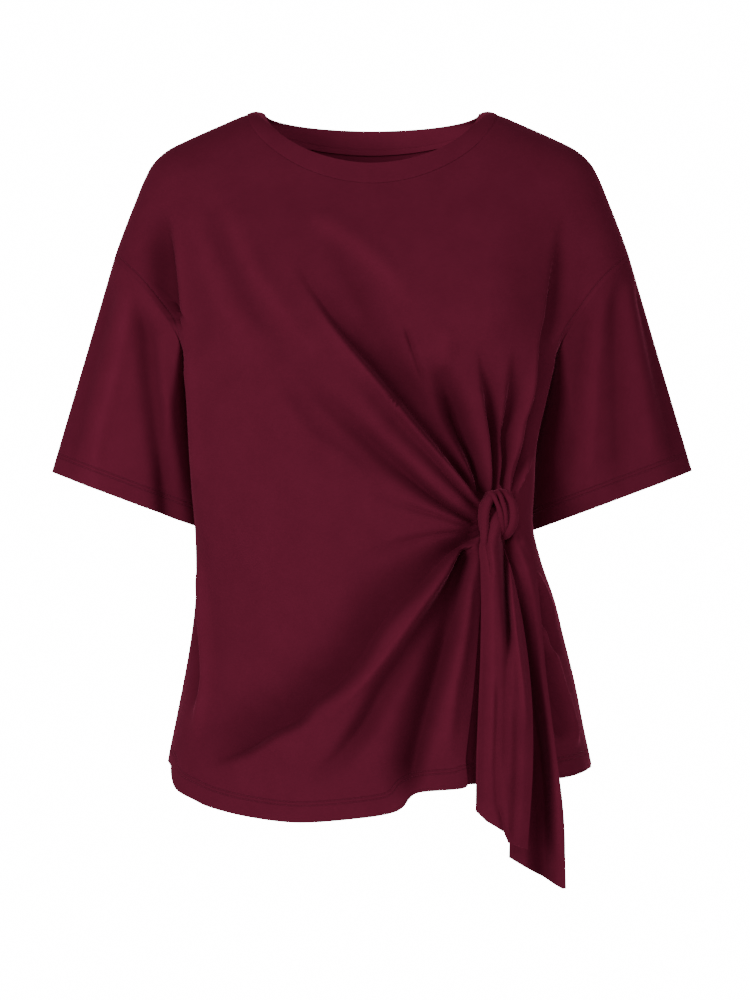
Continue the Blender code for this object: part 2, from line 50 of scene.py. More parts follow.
bpy.ops.object.camera_add(location=(view["x"] * mm, -view["away"] * mm, -view["drop"] * mm),
                          rotation=(math.pi / 2, 0.0, 0.0))
camera = bpy.context.object
camera.name = "photoCamera"
camera.data.sensor_fit = "HORIZONTAL"
camera.data.sensor_width = view["sensor"]
camera.data.lens = view["sensor"] * view["away"] / (view["wide"] * view["pixel"])
bpy.context.scene.camera = camera
print("camera set")


# ---- the worn shirt as one surface ----
shirt = {
    "wall": 1.1,            # thickness of the cloth
    "seam": 0.5,            # between the middles of two panels that are sewn together
    "halfGirth": 240.0,
    "neckHalfWidth": 116.0,
    "neckTop": 3.2,
    "neckFront": 72.3,
    "neckBack": 33.0,
    "knot": (112.5, 376.0),
    "knotRing": 12.0,
    "armDepth": 50.0,
    "dropPoint": 136.0,
    "armpit": 268.0,
    "sideHem": 603.0,
    "backHem": 618.0,
    "edgeStrip": 2.0,
    "seamLap": 3.0,         # how far one edge passes under the other
    "smoothBelow": 55,      # degrees
    # the right side seam hangs a little lower: by, within x, within drop
    "lowerRight": (6.5, (140.0, 200.0), (520.0, 603.0)),
}
# how sections of the worn form are built and blended
form = {
    "columns": 120,             # steps from the middle to the seam
    "levelStep": 2.0,
    "lowest": 662.0,
    "armFrom": (105.0, 205.0),  # half widths between which body becomes arm
    "edgeRound": (85.0, 50.0),  # how far in the rounding reaches, on body and on arm
    "upperCrowding": 1.8,       # of the points towards the outline
    "frontCrown": 2.5,
    "backTurn": 0.6,            # share of the front's turn at the sides
    "blend": (190.0, 240.0),    # drops between which the upper form gives way
    "cutFrom": 215.0,           # what the armhole leaves of a section
    "cutLeast": 0.75,
    "cutPower": 1.4,
    "neckPower": (1.06, 1.25),
    "hemLevel": 640.0,
    "topPull": 2.6,             # how soon the neck's curve fades down a panel
}

# outline of shoulder and upper arm: drop, half width
shoulderLine = (
    (0, 106), (3.2, 116), (13, 139.5), (24.5, 165.5), (35.5, 188),
    (46.5, 201), (63.5, 211), (82, 218.6), (100.5, 226), (136, 239),
    (200, 258), (340, 299),
)
# armhole below the drop point: drop, half width
armholeLine = (
    (136, 239), (147, 228), (160, 214.5), (180, 198.5), (205, 182),
    (219, 174.5), (238, 167), (268, 160),
)
# depth at the middle: drop, front, back
middleDepth = (
    (0, 58, 56), (50, 62, 64), (72, 66, 68), (110, 82, 78),
    (150, 97, 87), (200, 109, 93), (260, 115, 94),
    (340, 116, 88), (420, 115, 88), (520, 118, 97), (680, 126, 112),
)
# body below the arms: drop, then left half width, its depth and the seam's half
# width, the same three on the right, the seam's depth, depth of the back's widest line
bodyLine = (
    (180, 178, -58, 172, 176, -58, 170, 4, 60),
    (235, 172, -62, 162, 167, -60, 160, 5, 62),
    (268, 169, -62, 153, 159.5, -58, 151, 6, 62),
    (310, 167, -62, 146, 150.5, -55, 141, 8, 60),
    (351, 164.5, -60, 144, 148.3, -50, 138, 10, 57),
    (385, 162, -50, 147, 147.5, -42, 141, 12, 46),
    (417, 162, -25, 157.5, 156, -15, 153, 13, 30),
    (454, 163.7, 0, 163.2, 169.3, 2, 168.8, 14, 18),
    (491, 168.3, 5, 168, 178.6, 6, 178.2, 15, 17),
    (528, 174.8, 6, 174.5, 187.9, 7, 187.5, 15, 17),
    (566, 182.3, 6, 182, 196.2, 7, 195.8, 15, 17),
    (603, 189.7, 6, 189.4, 204.6, 7, 204.2, 15, 17),
    (660, 196, 6, 195.7, 213, 7, 212.6, 15, 17),
)


def flow(table, at, column=1):  # smooth curve through two columns of a table
    rows = np.array(table, float)
    x = rows[:, 0]
    y = rows[:, column]
    slope = np.gradient(y, x)
    i = np.clip(np.searchsorted(x, at) - 1, 0, len(x) - 2)
    width = x[i + 1] - x[i]
    t = np.clip((at - x[i]) / width, 0.0, 1.0)
    start = (1 + 2 * t) * (1 - t) ** 2 * y[i] + t * (1 - t) ** 2 * width * slope[i]
    return start + t * t * (3 - 2 * t) * y[i + 1] + t * t * (t - 1) * width * slope[i + 1]


def ease(value, low, high):
    t = np.clip((value - low) / (high - low), 0.0, 1.0)
    return t * t * (3 - 2 * t)


def rounded(path, steps=8):  # points along a smooth curve through the path
    p = np.array(path, float)
    p = np.vstack([2 * p[0] - p[1], p, 2 * p[-1] - p[-2]])
    out = []
    for a, b, c, d in zip(p[:-3], p[1:-2], p[2:-1], p[3:]):
        for t in np.arange(steps) / steps:
            bend = 2 * a - 5 * b + 4 * c - d + t * (3 * (b - c) + d - a)
            out.append(b + 0.5 * t * (c - a + t * bend))
    out.append(p[-2])
    return np.array(out)


def lengthAlong(points):
    step = np.sqrt((np.diff(points, axis=0) ** 2).sum(axis=1))
    return np.concatenate([[0.0], np.cumsum(step)])


def nearest(points, line):  # distance, side and place along the line for each point
    start = line[:-1]
    span = line[1:] - start
    away = points[:, None, :] - start[None]
    size = np.maximum((span ** 2).sum(axis=1), 1e-9)
    t = np.clip((away * span).sum(axis=2) / size, 0.0, 1.0)
    off = away - t[..., None] * span
    gap = np.sqrt((off ** 2).sum(axis=2))
    i = gap.argmin(axis=1)
    pick = np.arange(len(points))
    side = span[i, 0] * off[pick, i, 1] - span[i, 1] * off[pick, i, 0]
    reach = lengthAlong(line)
    along = (reach[i] + t[pick, i] * np.sqrt(size[i])) / reach[-1]
    return gap[pick, i], side, along


def upperHalf(drop, face):
    q = np.linspace(0.0, 1.0, 160)
    edge = flow(shoulderLine if drop <= shirt["dropPoint"] else armholeLine, drop)
    x = edge * (1 - (1 - q) ** form["upperCrowding"])
    middle = flow(middleDepth, np.full(len(q), drop), 1 if face < 0 else 2)
    out = ease(x, *form["armFrom"])
    depth = middle * (1 - out) + shirt["armDepth"] * out
    reach = form["edgeRound"][0] * (1 - out) + form["edgeRound"][1] * out
    heights = np.linspace(0.0, shoulderLine[-1][0], 120)
    ridge = np.vstack([(0.0, 0.0), np.stack([flow(shoulderLine, heights), heights], axis=1)])
    gap = nearest(np.stack([x, np.full(len(q), drop)], axis=1), ridge)[0]
    t = np.clip(gap / reach, 0.0, 1.0)
    return np.stack([x, face * depth * np.sqrt(1 - (1 - t) ** 2)], axis=1)


def lowerHalf(drop, side, face):
    column = 1 if side < 0 else 4
    wide = flow(bodyLine, drop, column)
    fore = flow(bodyLine, drop, column + 1) if face < 0 else flow(bodyLine, drop, 8)
    seam = flow(bodyLine, drop, column + 2)
    seamY = flow(bodyLine, drop, 7)
    if face > 0:
        wide = seam + form["backTurn"] * (wide - seam)
    middle = flow(middleDepth, drop, 1 if face < 0 else 2) * face
    across = 1 - (1 - np.linspace(0.0, 1.0, 140)) ** 2
    crown = np.sqrt(1 - across ** form["frontCrown"])
    front = np.stack([wide * across, fore + (middle - fore) * crown], axis=1)
    t = np.linspace(0.0, 1.0, 41)[1:]
    turn = seam + (wide - seam) * (1 + np.cos(math.pi * t)) / 2
    return np.vstack([front, np.stack([turn, fore + (seamY - fore) * t], axis=1)])


def even(section, share=1.0):  # even points along a section, with its length
    length = lengthAlong(section)
    at = np.linspace(0.0, share * length[-1], form["columns"] + 1)
    along = [np.interp(at, length, section[:, 0]), np.interp(at, length, section[:, 1])]
    return np.stack(along + [np.full(len(at), share * length[-1])], axis=1)


def cutShare(drop):  # what is left of the section inside the armhole
    if drop >= shirt["armpit"]:
        return 1.0
    part = max(0.0, drop - form["cutFrom"]) / (shirt["armpit"] - form["cutFrom"])
    return form["cutLeast"] + (1 - form["cutLeast"]) * part ** form["cutPower"]


levels = np.arange(form["levelStep"], form["lowest"], form["levelStep"])


def sections(side, face):
    rows = []
    for drop in levels:
        low = float(ease(drop, *form["blend"]))
        row = np.zeros((form["columns"] + 1, 3))
        if low < 1:
            row = row + (1 - low) * even(upperHalf(min(drop, shirt["armpit"]), face))
        if low > 0:
            row = row + low * even(lowerHalf(drop, side, face), cutShare(drop))
        rows.append(row)
    return np.array(rows)


surface = {(side, face): sections(side, face) for side in (-1, 1) for face in (-1, 1)}
print("worn form worked out")


def place(face, share, drop):  # share runs from the left seam at -1 to the right at 1
    share = np.asarray(share, float)
    drop = np.asarray(drop, float)
    row = np.clip((drop - levels[0]) / form["levelStep"], 0, len(levels) - 1.001)
    col = np.clip(np.abs(share) * form["columns"], 0, form["columns"] - 0.0001)
    i = row.astype(int)
    j = col.astype(int)
    a = (row - i)[:, None]
    b = (col - j)[:, None]
    out = np.zeros((len(share), 4))
    for side in (-1, 1):
        base = surface[(side, face)]
        near = (1 - a) * base[i, j] + a * base[i + 1, j]
        far = (1 - a) * base[i, j + 1] + a * base[i + 1, j + 1]
        point = (1 - b) * near + b * far
        mine = (share < 0) if side < 0 else (share >= 0)
        out[mine, 0] = side * point[mine, 0]
        out[mine, 1] = point[mine, 1]
        out[mine, 3] = point[mine, 2]
    out[:, 2] = -drop
    return out


def unrolled(face, flat):  # from shares to millimetres along the section
    return np.stack([flat[:, 0] * place(face, flat[:, 0], flat[:, 1])[:, 3], flat[:, 1]], axis=1)


def rolled(face, cloth):  # points on the body for millimetres along each section
    length = place(face, np.sign(cloth[:, 0]), cloth[:, 1])[:, 3]
    return place(face, np.clip(cloth[:, 0] / length, -1.0, 1.0), cloth[:, 1])[:, :3]


def shareAt(face, x, drop):
    out = []
    for value, level in zip(np.atleast_1d(x), np.atleast_1d(drop)):
        row = np.clip((level - levels[0]) / form["levelStep"], 0, len(levels) - 1.001)
        base = surface[(-1 if value < 0 else 1, face)]
        line = (1 - row % 1) * base[int(row), :, 0] + (row % 1) * base[int(row) + 1, :, 0]
        peak = int(line.argmax()) + 1
        share = np.interp(abs(value), line[:peak], np.arange(peak)) / form["columns"]
        out.append(math.copysign(share, value))
    return np.array(out)


def spread(face, flat, count):  # the same line in equal steps of its length
    length = lengthAlong(place(face, flat[:, 0], flat[:, 1])[:, :3])
    at = np.linspace(0.0, length[-1], count + 1)
    return np.stack([np.interp(at, length, flat[:, 0]), np.interp(at, length, flat[:, 1])], axis=1)


def sideLine(face, side, top, bottom, count):
    drops = np.linspace(top, bottom, 600)
    return spread(face, np.stack([np.full(600, float(side)), drops], axis=1), count)


def neckLine(face, lowest, count):
    t = np.linspace(-math.pi / 2, math.pi / 2, 400)
    wide, deep = form["neckPower"]
    x = shirt["neckHalfWidth"] * np.sign(np.sin(t)) * np.abs(np.sin(t)) ** wide
    drop = shirt["neckTop"] + (lowest - shirt["neckTop"]) * np.abs(np.cos(t)) ** deep
    flat = np.stack([shareAt(face, x, drop), drop], axis=1)
    flat[0] = (-1.0, shirt["neckTop"])
    flat[-1] = (1.0, shirt["neckTop"])
    return spread(face, flat, count)


def hemLine(table, count):
    rows = rounded(table, 8)
    shares = shareAt(-1, rows[:, 0], np.full(len(rows), form["hemLevel"]))
    flat = np.stack([shares, rows[:, 1]], axis=1)
    return spread(-1, flat, count)


def atFraction(line, fraction):
    index = np.clip(np.asarray(fraction), 0.0, 1.0) * (len(line) - 1)
    rank = np.arange(len(line))
    return np.stack([np.interp(index, rank, line[:, k]) for k in (0, 1)], axis=-1)


def inside(face, outline, across, down):  # points at fractions across and down a panel
    top, bottom, left, right = [unrolled(face, line) for line in outline]
    u = np.asarray(across)[:, None]
    near = (1 - np.clip(np.asarray(down)[:, None], 0.0, 1.0)) ** form["topPull"]
    cloth = near * atFraction(top, across) + (1 - near) * atFraction(bottom, across)
    cloth += (1 - u) * atFraction(left, down) + u * atFraction(right, down)
    cloth -= near * ((1 - u) * top[0] + u * top[-1])
    cloth -= (1 - near) * ((1 - u) * bottom[0] + u * bottom[-1])
    return rolled(face, cloth), cloth


def gridNormals(grid, closed):
    if closed:
        across = np.roll(grid, -1, axis=1) - np.roll(grid, 1, axis=1)
    else:
        across = np.gradient(grid, axis=1)
    normal = np.cross(across, np.gradient(grid, axis=0))
    return normal / np.maximum(np.linalg.norm(normal, axis=-1), 1e-9)[..., None]


def facingNormals(grid, facing):  # facing is -1 on the front and 1 on the back
    normal = gridNormals(grid, False)
    return -normal if (normal[..., 1] * facing).mean() < 0 else normal


def outwardNormals(grid):  # of a closed ring, and -1 if its rows run inside out
    normal = gridNormals(grid, True)
    away = grid - grid.mean(axis=1, keepdims=True)
    turn = 1 if (normal * away).sum(axis=-1).mean() > 0 else -1
    return normal * turn, turn


# how folds are raised, and the painted shade in their troughs and painted highlight on their ridges
crease = {
    "gain": 1.3,                # on the front and back
    "narrowest": 0.28,          # share of the width that is left at the knot
    "narrowWithin": (10.0, 125.0),
    "sleeveFading": 0.6,
    "steep": (0.05, 0.45),      # folds die out where the cloth turns away
    "seamReach": (2.0, 26.0),   # and near a seam
    "troughPaintedShade": 0.55,
    "troughDepth": 14.0,        # millimetres at which a trough is well in shade
    "ridgePaintedHighlight": 0.16,
    "ridgeHeight": 4.0,
}


def foldSum(folds, points, narrow=1.0, fading=1.0):
    total = np.zeros(len(points))
    for depth, rightHand, leftHand, riseTo, fadeFrom, path in folds:
        gap, side, along = nearest(points, rounded(path))
        width = np.where(side > 0, rightHand, leftHand) * narrow
        fade = ease(along + 0.03, 0.0, riseTo) * (1 - fading * ease(along, fadeFrom, 1.0))
        total += depth * fade * np.exp(-(gap / width) ** 2)
    return total


def fromKnot(x, z):
    return np.hypot(x - shirt["knot"][0], z + shirt["knot"][1])


def paintedShade(rise):  # painted shade: share of colour lost in a trough; painted highlight: share won on a ridge
    lost = crease["troughPaintedShade"] * (np.exp(rise / crease["troughDepth"]) - 1)
    won = crease["ridgePaintedHighlight"] * (1 - np.exp(-rise / crease["ridgeHeight"]))
    return "paintedShade", np.where(rise < 0, lost, won)


def fromLines(points, lines):  # distance of each point to the nearest of some lines
    gap = np.full(len(points), 1e9)
    for line in lines:
        start = line[:-1]
        span = line[1:] - start
        size = np.maximum((span ** 2).sum(axis=1), 1e-9)
        for a, s, n in zip(start, span, size):
            t = np.clip((points - a) @ s / n, 0.0, 1.0)
            gap = np.minimum(gap, np.sqrt(((points - a - t[:, None] * s) ** 2).sum(axis=1)))
    return gap


def select(piece):
    bpy.ops.object.select_all(action="DESELECT")
    piece.select_set(True)
    bpy.context.view_layer.objects.active = piece


# Painted light: the inner side of the wall is painted paler, to lift the shade that falls inside the
# neck.
def paintInsideLight(mesh, gain):  # the wall's first and second half of points are its two sides
    points = np.empty(len(mesh.vertices) * 3)
    mesh.vertices.foreach_get("co", points)
    away = np.hypot(*points.reshape(-1, 3)[:, :2].T).reshape(2, -1)
    paintedLight = mesh.attributes.get("paintedShade") or mesh.attributes.new("paintedShade", "FLOAT", "POINT")
    values = np.empty(len(mesh.vertices))
    paintedLight.data.foreach_get("value", values)
    values = values.reshape(2, -1) + gain * (away < away[::-1])
    paintedLight.data.foreach_set("value", values.ravel())


# A flat grid is added and its points are laid on the worn form. Its UV map holds
# the cloth's own metres, so that the knit follows the cloth.
def gridPiece(name, grid, flat, closed, gaps=()):
    if closed:
        grid = np.concatenate([grid, grid[:, :1]], axis=1)
    rows, cols = grid.shape[:2]
    bpy.ops.object.select_all(action="DESELECT")
    bpy.ops.mesh.primitive_grid_add(x_subdivisions=cols - 1, y_subdivisions=rows - 1, size=1.0)
    piece = bpy.context.object
    piece.name = name
    mesh = piece.data
    mesh.name = name
    mesh.vertices.foreach_set("co", (grid * mm).ravel())
    corners = np.empty(len(mesh.loops), int)
    mesh.loops.foreach_get("vertex_index", corners)
    mesh.uv_layers[0].name = "cloth"
    mesh.uv_layers[0].data.foreach_set("uv", (flat.reshape(-1, 2)[corners] * mm).ravel())
    for label, gap in gaps:
        mesh.attributes.new(label, "FLOAT", "POINT").data.foreach_set("value", gap.ravel())
    mesh.update()
    select(piece)
    return piece


# The same with its wall, half of it to each side of the points.
def layCloth(name, grid, flat, closed=False, gaps=(), wall=shirt["wall"], insidePaintedLight=0.0):
    if closed:
        gaps = [(label, np.concatenate([gap, gap[:, :1]], axis=1)) for label, gap in gaps]
    piece = gridPiece(name, grid, flat, closed, gaps)
    mesh = piece.data
    if closed:
        bpy.ops.object.mode_set(mode="EDIT")
        bpy.ops.mesh.select_all(action="SELECT")
        bpy.ops.mesh.remove_doubles(threshold=joinWithin)
        bpy.ops.object.mode_set(mode="OBJECT")
    shell = piece.modifiers.new("wall", "SOLIDIFY")
    shell.thickness = wall * mm
    shell.offset = 0.0
    shell.use_even_offset = False
    bpy.ops.object.modifier_apply(modifier=shell.name)
    if insidePaintedLight:
        paintInsideLight(mesh, insidePaintedLight)
    bpy.ops.object.shade_smooth_by_angle(angle=math.radians(shirt["smoothBelow"]))
    print(name, len(mesh.polygons), "faces")
    return piece


def belongs(piece, node, material, stands=True):
    piece.data.materials.clear()
    piece.data.materials.append(material)
    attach(piece, "root")
    if stands:
        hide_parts(node)


# ---- jersey ----
jersey = {
    "colour": (0.112, 0.0116, 0.0285),
    "shade": (0.094, 0.0094, 0.0235),   # in the mottled patches
    "walePitch": 0.00085,
    "coursePitch": 0.00066,
    "knitRelief": 0.00012,
    "roughness": 0.58,
    "specular": 0.0,
    "sheen": 0.30,
    "sheenRoughness": 0.32,
    "sheenTint": (1.0, 0.17, 0.33, 1.0),
    "insidePaintedLight": 0.55,                 # painted light: the inside faces are painted paler, which lifts the shade inside the neck
    # painted shade: the back's copy of the jersey is painted a little darker
    "backPaintedShade": 0.96,
    "stitchRelief": 0.00045,
    "stitchDent": 0.75,                 # millimetres to each side of a row
    "stitchShade": 0.14,                # painted shade: colour lost in the dent along a row of stitches
    "hemRows": (18.5, 15.3),            # millimetres from the folded edge
    "seamRow": 4.5,
}


class Graph:
    def __init__(self, material):
        self.tree = material.node_tree

    def add(self, kind, sockets=None, **settings):
        made = self.tree.nodes.new("ShaderNode" + kind)
        for key, value in settings.items():
            setattr(made, key, value)
        for key, value in (sockets or {}).items():
            if isinstance(value, bpy.types.NodeSocket):
                self.tree.links.new(value, made.inputs[key])
            else:
                made.inputs[key].default_value = value
        return made

    def sum(self, operation, first, second=0.0):
        return self.add("Math", {0: first, 1: second}, operation=operation).outputs[0]


def stitchHollow(graph, label, places):  # a dent along each row of stitches
    gap = graph.add("Attribute", attribute_name=label).outputs["Fac"]
    total = None
    for value in places:
        off = graph.sum("DIVIDE", graph.sum("SUBTRACT", gap, value), jersey["stitchDent"])
        dent = graph.sum("EXPONENT", graph.sum("MULTIPLY", graph.sum("MULTIPLY", off, off), -1.0))
        total = dent if total is None else graph.sum("ADD", total, dent)
    return total


# The colour scale makes lighter and darker painted copies of one jersey: painted light and painted
# shade.
def jerseyMaterial(name, paintedLight=1.0):
    made = bpy.data.materials.new(name)
    made.use_nodes = True
    graph = Graph(made)
    shader = made.node_tree.nodes["Principled BSDF"]
    cloth = graph.add("UVMap", uv_map="cloth").outputs["UV"]
    period = 2 * math.pi / 20  # a wave of scale 1 repeats after this length
    wales, courses = [
        graph.add("TexWave", {"Vector": cloth, "Scale": period / jersey[pitch], "Distortion": bent,
                              "Detail": 1.0}, bands_direction=way).outputs["Fac"]
        for pitch, bent, way in (("walePitch", 0.6, "X"), ("coursePitch", 0.8, "Y"))]
    knit = graph.sum("ADD", graph.sum("MULTIPLY", wales, 0.6), graph.sum("MULTIPLY", courses, 0.4))
    place3d = graph.add("TexCoord").outputs["Object"]
    patches = graph.add("TexNoise", {"Vector": place3d, "Scale": 38.0, "Detail": 5.0,
                                     "Roughness": 0.62}).outputs["Fac"]
    slubMap = graph.add("Mapping", {"Vector": cloth, "Scale": (160.0, 1500.0, 1.0)})
    slubs = graph.add("TexNoise", {"Vector": slubMap.outputs["Vector"], "Scale": 1.0,
                                   "Detail": 2.0}).outputs["Fac"]
    mottle = graph.sum("ADD", graph.sum("MULTIPLY", patches, 0.6),
                       graph.sum("MULTIPLY", slubs, 0.4))
    ramp = graph.add("ValToRGB", {"Fac": mottle})
    for stop, position, colour in zip(ramp.color_ramp.elements, (0.30, 0.72), ("shade", "colour")):
        stop.position = position
        stop.color = (*[c * paintedLight for c in jersey[colour]], 1.0)
    knitBump = graph.add("Bump", {"Strength": 0.55, "Distance": jersey["knitRelief"],
                                  "Height": knit})
    fuzz = graph.add("Bump", {"Strength": 0.35, "Distance": 0.00025, "Height": slubs,
                              "Normal": knitBump.outputs["Normal"]})
    dents = graph.sum("ADD", stitchHollow(graph, "hemGap", jersey["hemRows"]),
                      stitchHollow(graph, "seamGap", (jersey["seamRow"],)))
    rows = graph.add("Bump", {"Strength": 1.0, "Distance": jersey["stitchRelief"],
                              "Height": graph.sum("MULTIPLY", dents, -1.0),
                              "Normal": fuzz.outputs["Normal"]})
    # painted shade in fold troughs, painted highlight on fold ridges and painted light on inside faces
    # scale the base colour
    paintedShadeScale = graph.sum("ADD", graph.add("Attribute", attribute_name="paintedShade").outputs["Fac"], 1.0)
    # painted shade in the stitch dents takes colour away as well
    shadeShare = graph.sum("SUBTRACT", paintedShadeScale, graph.sum("MULTIPLY", dents, jersey["stitchShade"]))
    toned = graph.add("VectorMath", {0: ramp.outputs["Color"]}, operation="SCALE")
    links = made.node_tree.links
    links.new(shadeShare, toned.inputs["Scale"])
    links.new(toned.outputs["Vector"], shader.inputs["Base Color"])
    links.new(rows.outputs["Normal"], shader.inputs["Normal"])
    shader.inputs["Roughness"].default_value = jersey["roughness"]
    shader.inputs["Specular IOR Level"].default_value = jersey["specular"]
    shader.inputs["Sheen Weight"].default_value = jersey["sheen"]
    shader.inputs["Sheen Roughness"].default_value = jersey["sheenRoughness"]
    shader.inputs["Sheen Tint"].default_value = jersey["sheenTint"]
    return made


sewingThread = {
    "shade": (0.082, 0.0080, 0.0205, 1.0),
    "colour": (0.120, 0.0120, 0.0300, 1.0),
    "roughness": 0.5,
    "specular": 0.05,
    "sheen": 0.3,
}


def threadMaterial(look):
    made = bpy.data.materials.new("sewingThread")
    made.use_nodes = True
    graph = Graph(made)
    shader = made.node_tree.nodes["Principled BSDF"]
    place3d = graph.add("TexCoord").outputs["Object"]
    twist = graph.add("TexNoise", {"Vector": place3d, "Scale": 900.0, "Detail": 2.0}).outputs["Fac"]
    ramp = graph.add("ValToRGB", {"Fac": twist})
    ramp.color_ramp.elements[0].color = look["shade"]
    ramp.color_ramp.elements[1].color = look["colour"]
    bump = graph.add("Bump", {"Strength": 0.4, "Distance": 0.0001, "Height": twist})
    made.node_tree.links.new(ramp.outputs["Color"], shader.inputs["Base Color"])
    made.node_tree.links.new(bump.outputs["Normal"], shader.inputs["Normal"])
    shader.inputs["Roughness"].default_value = look["roughness"]
    shader.inputs["Specular IOR Level"].default_value = look["specular"]
    shader.inputs["Sheen Weight"].default_value = look["sheen"]
    shader.inputs["Sheen Tint"].default_value = jersey["sheenTint"]
    return made


thread = threadMaterial(sewingThread)


# ---- front ----
frontPanel = {
    "rings": 84,
    "neckSteps": 84,
    "shoulderSteps": 40,
    "armholeSteps": 70,
    "sideSteps": 60,
    "hemSteps": 96,
    "rightHemSteps": 24,
    # the search for the knot's place on the panel, which prefers the side in front
    "searchSteps": 121,
    "searchAcross": (0.5, 1.0),
    "searchDown": (0.3, 0.9),
    "frontFrom": -60.0,
    "behindWeight": 0.05,
    "crowding": 0.45,       # of the rings towards the knot and the rim
    "funnelWidth": 24.0,
    "slitTurn": 0.8,        # share of the right hem over which the edge comes forward
    "slitAway": (25.0, 120.0),
    "seamReach": (1.5, 13.0),
    "calmWithin": (12.0, 55.0),
    "calm": 0.5,            # share of the folds' depth at the knot itself
    "funnel": 11.0,         # how far the gathers sink in at the knot
    "slitSink": 8.0,        # how far the right edge of the slit lies behind
    "slitLap": 9.0,         # and how far it passes under the left edge
}
# front hem, from side to slit and from slit to side: x, drop
leftHem = (
    (-190, 603), (-186.5, 617), (-180, 627), (-163, 634), (-146, 640),
    (-110, 647), (-65, 651), (-13, 647), (16, 642.5), (28, 637),
    (35, 628), (45, 623.5), (80, 621), (87.5, 618),
)
rightHem = ((88.5, 618), (130, 616.5), (167, 613), (188, 608), (205, 603))
# Folds: depth (inward is negative), widths on the right hand and the left hand of
# someone who walks the path, where it is full, where it starts to fade, and the
# path from the knot as (x, drop).
frontFolds = (
    (-9, 9, 10, 0.02, 0.35, ((95, 381), (63, 363), (34, 340), (7, 317), (-20, 291), (-47, 264),
     (-74, 224))),
    (-2.6, 8, 7, 0.30, 0.60, ((10, 345), (-20, 316), (-47, 298), (-69, 268), (-94, 239))),
    (-6, 8, 9, 0.02, 0.60, ((95, 367), (75, 347), (48, 316), (18, 282), (-4, 253), (-20, 228))),
    (-14, 18, 4.6, 0.02, 0.42, ((99, 361), (79, 334), (52, 300), (30, 273), (7, 246), (-15, 221),
     (-33, 199), (-45, 181), (-58, 163), (-72, 134))),
    (2.6, 4, 7, 0.25, 0.70, ((62, 322), (24, 280), (-10, 237), (-40, 200), (-56, 178))),
    (-18, 11, 12, 0.02, 0.50, ((104, 358), (95, 327), (80, 293), (66, 255), (54, 221))),
    (-4, 12, 13, 0.45, 0.86, ((-42, 102), (-33, 124), (-11, 167), (9, 208), (25, 239), (43, 264),
     (54, 284))),
    (3, 9, 12, 0.20, 0.55, ((-51, 95), (-45, 106), (-20, 124), (5, 147), (25, 167), (48, 199))),
    (-2.4, 2.4, 3.4, 0.20, 0.75, ((30, 203), (34, 217), (50, 262))),
    (2.4, 9, 7, 0.20, 0.70, ((70, 205), (66, 228), (62, 250))),
    (-13, 11, 3.4, 0.02, 0.38, ((110, 355), (111, 337), (110, 303), (104, 263), (96, 217))),
    (-11, 13, 4.4, 0.02, 0.38, ((118, 348), (122, 326), (123, 303), (126, 284), (128, 258),
     (131, 215))),
    (4.2, 6, 6.5, 0.02, 0.45, ((123, 355), (125, 337), (132, 311), (137, 287), (147, 263),
     (156, 226), (164, 180))),
    (-8, 9, 3.6, 0.10, 0.66, ((129, 345), (138, 320), (146, 285), (152, 258), (157, 217),
     (163, 190), (169, 145), (175, 91))),
    (-3.5, 3.5, 3.5, 0.05, 0.60, ((126, 352), (133, 335), (141, 312), (147, 296))),
    (3, 3.5, 3.5, 0.05, 0.60, ((129, 358), (138, 338), (147, 316))),
    (-11, 28, 7, 0.02, 0.82, ((93, 397), (70, 412), (43, 438), (21, 457), (3, 480), (-9, 501),
     (-29, 523), (-54, 541), (-67, 556), (-92, 568), (-114, 582), (-137, 593), (-158, 604))),
    (2.6, 5, 5, 0.10, 0.60, ((82, 416), (66, 433), (36, 470), (16, 497), (-4, 521), (-29, 546),
     (-56, 567))),
    (-9, 8, 12, 0.02, 0.62, ((88, 408), (66, 444), (43, 480), (25, 507), (7, 534), (-9, 564),
     (-31, 593), (-54, 613), (-67, 627))),
    (-15, 18, 8, 0.02, 0.80, ((90, 412), (79, 451), (71, 483), (60, 519), (49, 555), (40, 591),
     (35, 618), (33, 640))),
    (3.5, 7, 7, 0.15, 0.75, ((89, 412), (86, 445), (80, 490), (72, 540), (66, 600))),
    (-2, 6, 6, 0.05, 0.50, ((94, 390), (60, 392), (20, 402), (-30, 420))),
    (-2, 5, 5, 0.05, 0.50, ((93, 386), (62, 376), (30, 366), (-10, 352))),
    (-11, 16, 5, 0.35, 0.97, ((-192, 88), (-190, 110), (-187, 135), (-183, 170), (-180, 205),
     (-177, 245))),
    (2.5, 6, 6, 0.20, 0.90, ((-182, 90), (-177, 127), (-172, 181), (-168, 221), (-163, 268),
     (-158, 351))),
    (-2.6, 9, 9, 0.30, 0.60, ((-158, 70), (-143, 108), (-126, 150), (-108, 184), (-82, 222),
     (-52, 258))),
    (2, 9, 10, 0.30, 0.60, ((-146, 70), (-130, 106), (-112, 142), (-90, 176), (-60, 214),
     (-30, 250))),
    (2.4, 9, 9, 0.30, 0.60, ((-170, 86), (-158, 122), (-144, 162), (-124, 204), (-98, 250))),
    (5.5, 6, 4, 0.20, 0.75, ((-157, 410), (-154, 460), (-150, 505), (-150, 529), (-155, 552),
     (-165, 584))),
    (-4, 5, 5, 0.25, 0.75, ((-167, 420), (-164, 470), (-161, 520), (-165, 560))),
    (3, 4, 4, 0.20, 0.70, ((148, 426), (158, 445), (166, 462), (171, 478))),
    (6, 4.5, 4.5, 0.15, 0.85, ((150, 470), (162, 501), (171, 532), (179, 557), (187, 592))),
    (-6.5, 6, 5, 0.20, 0.80, ((148, 436), (156, 460), (163, 486), (170, 505))),
    (-7, 7, 5.5, 0.20, 0.85, ((152, 490), (160, 520), (168, 550), (175, 582))),
)


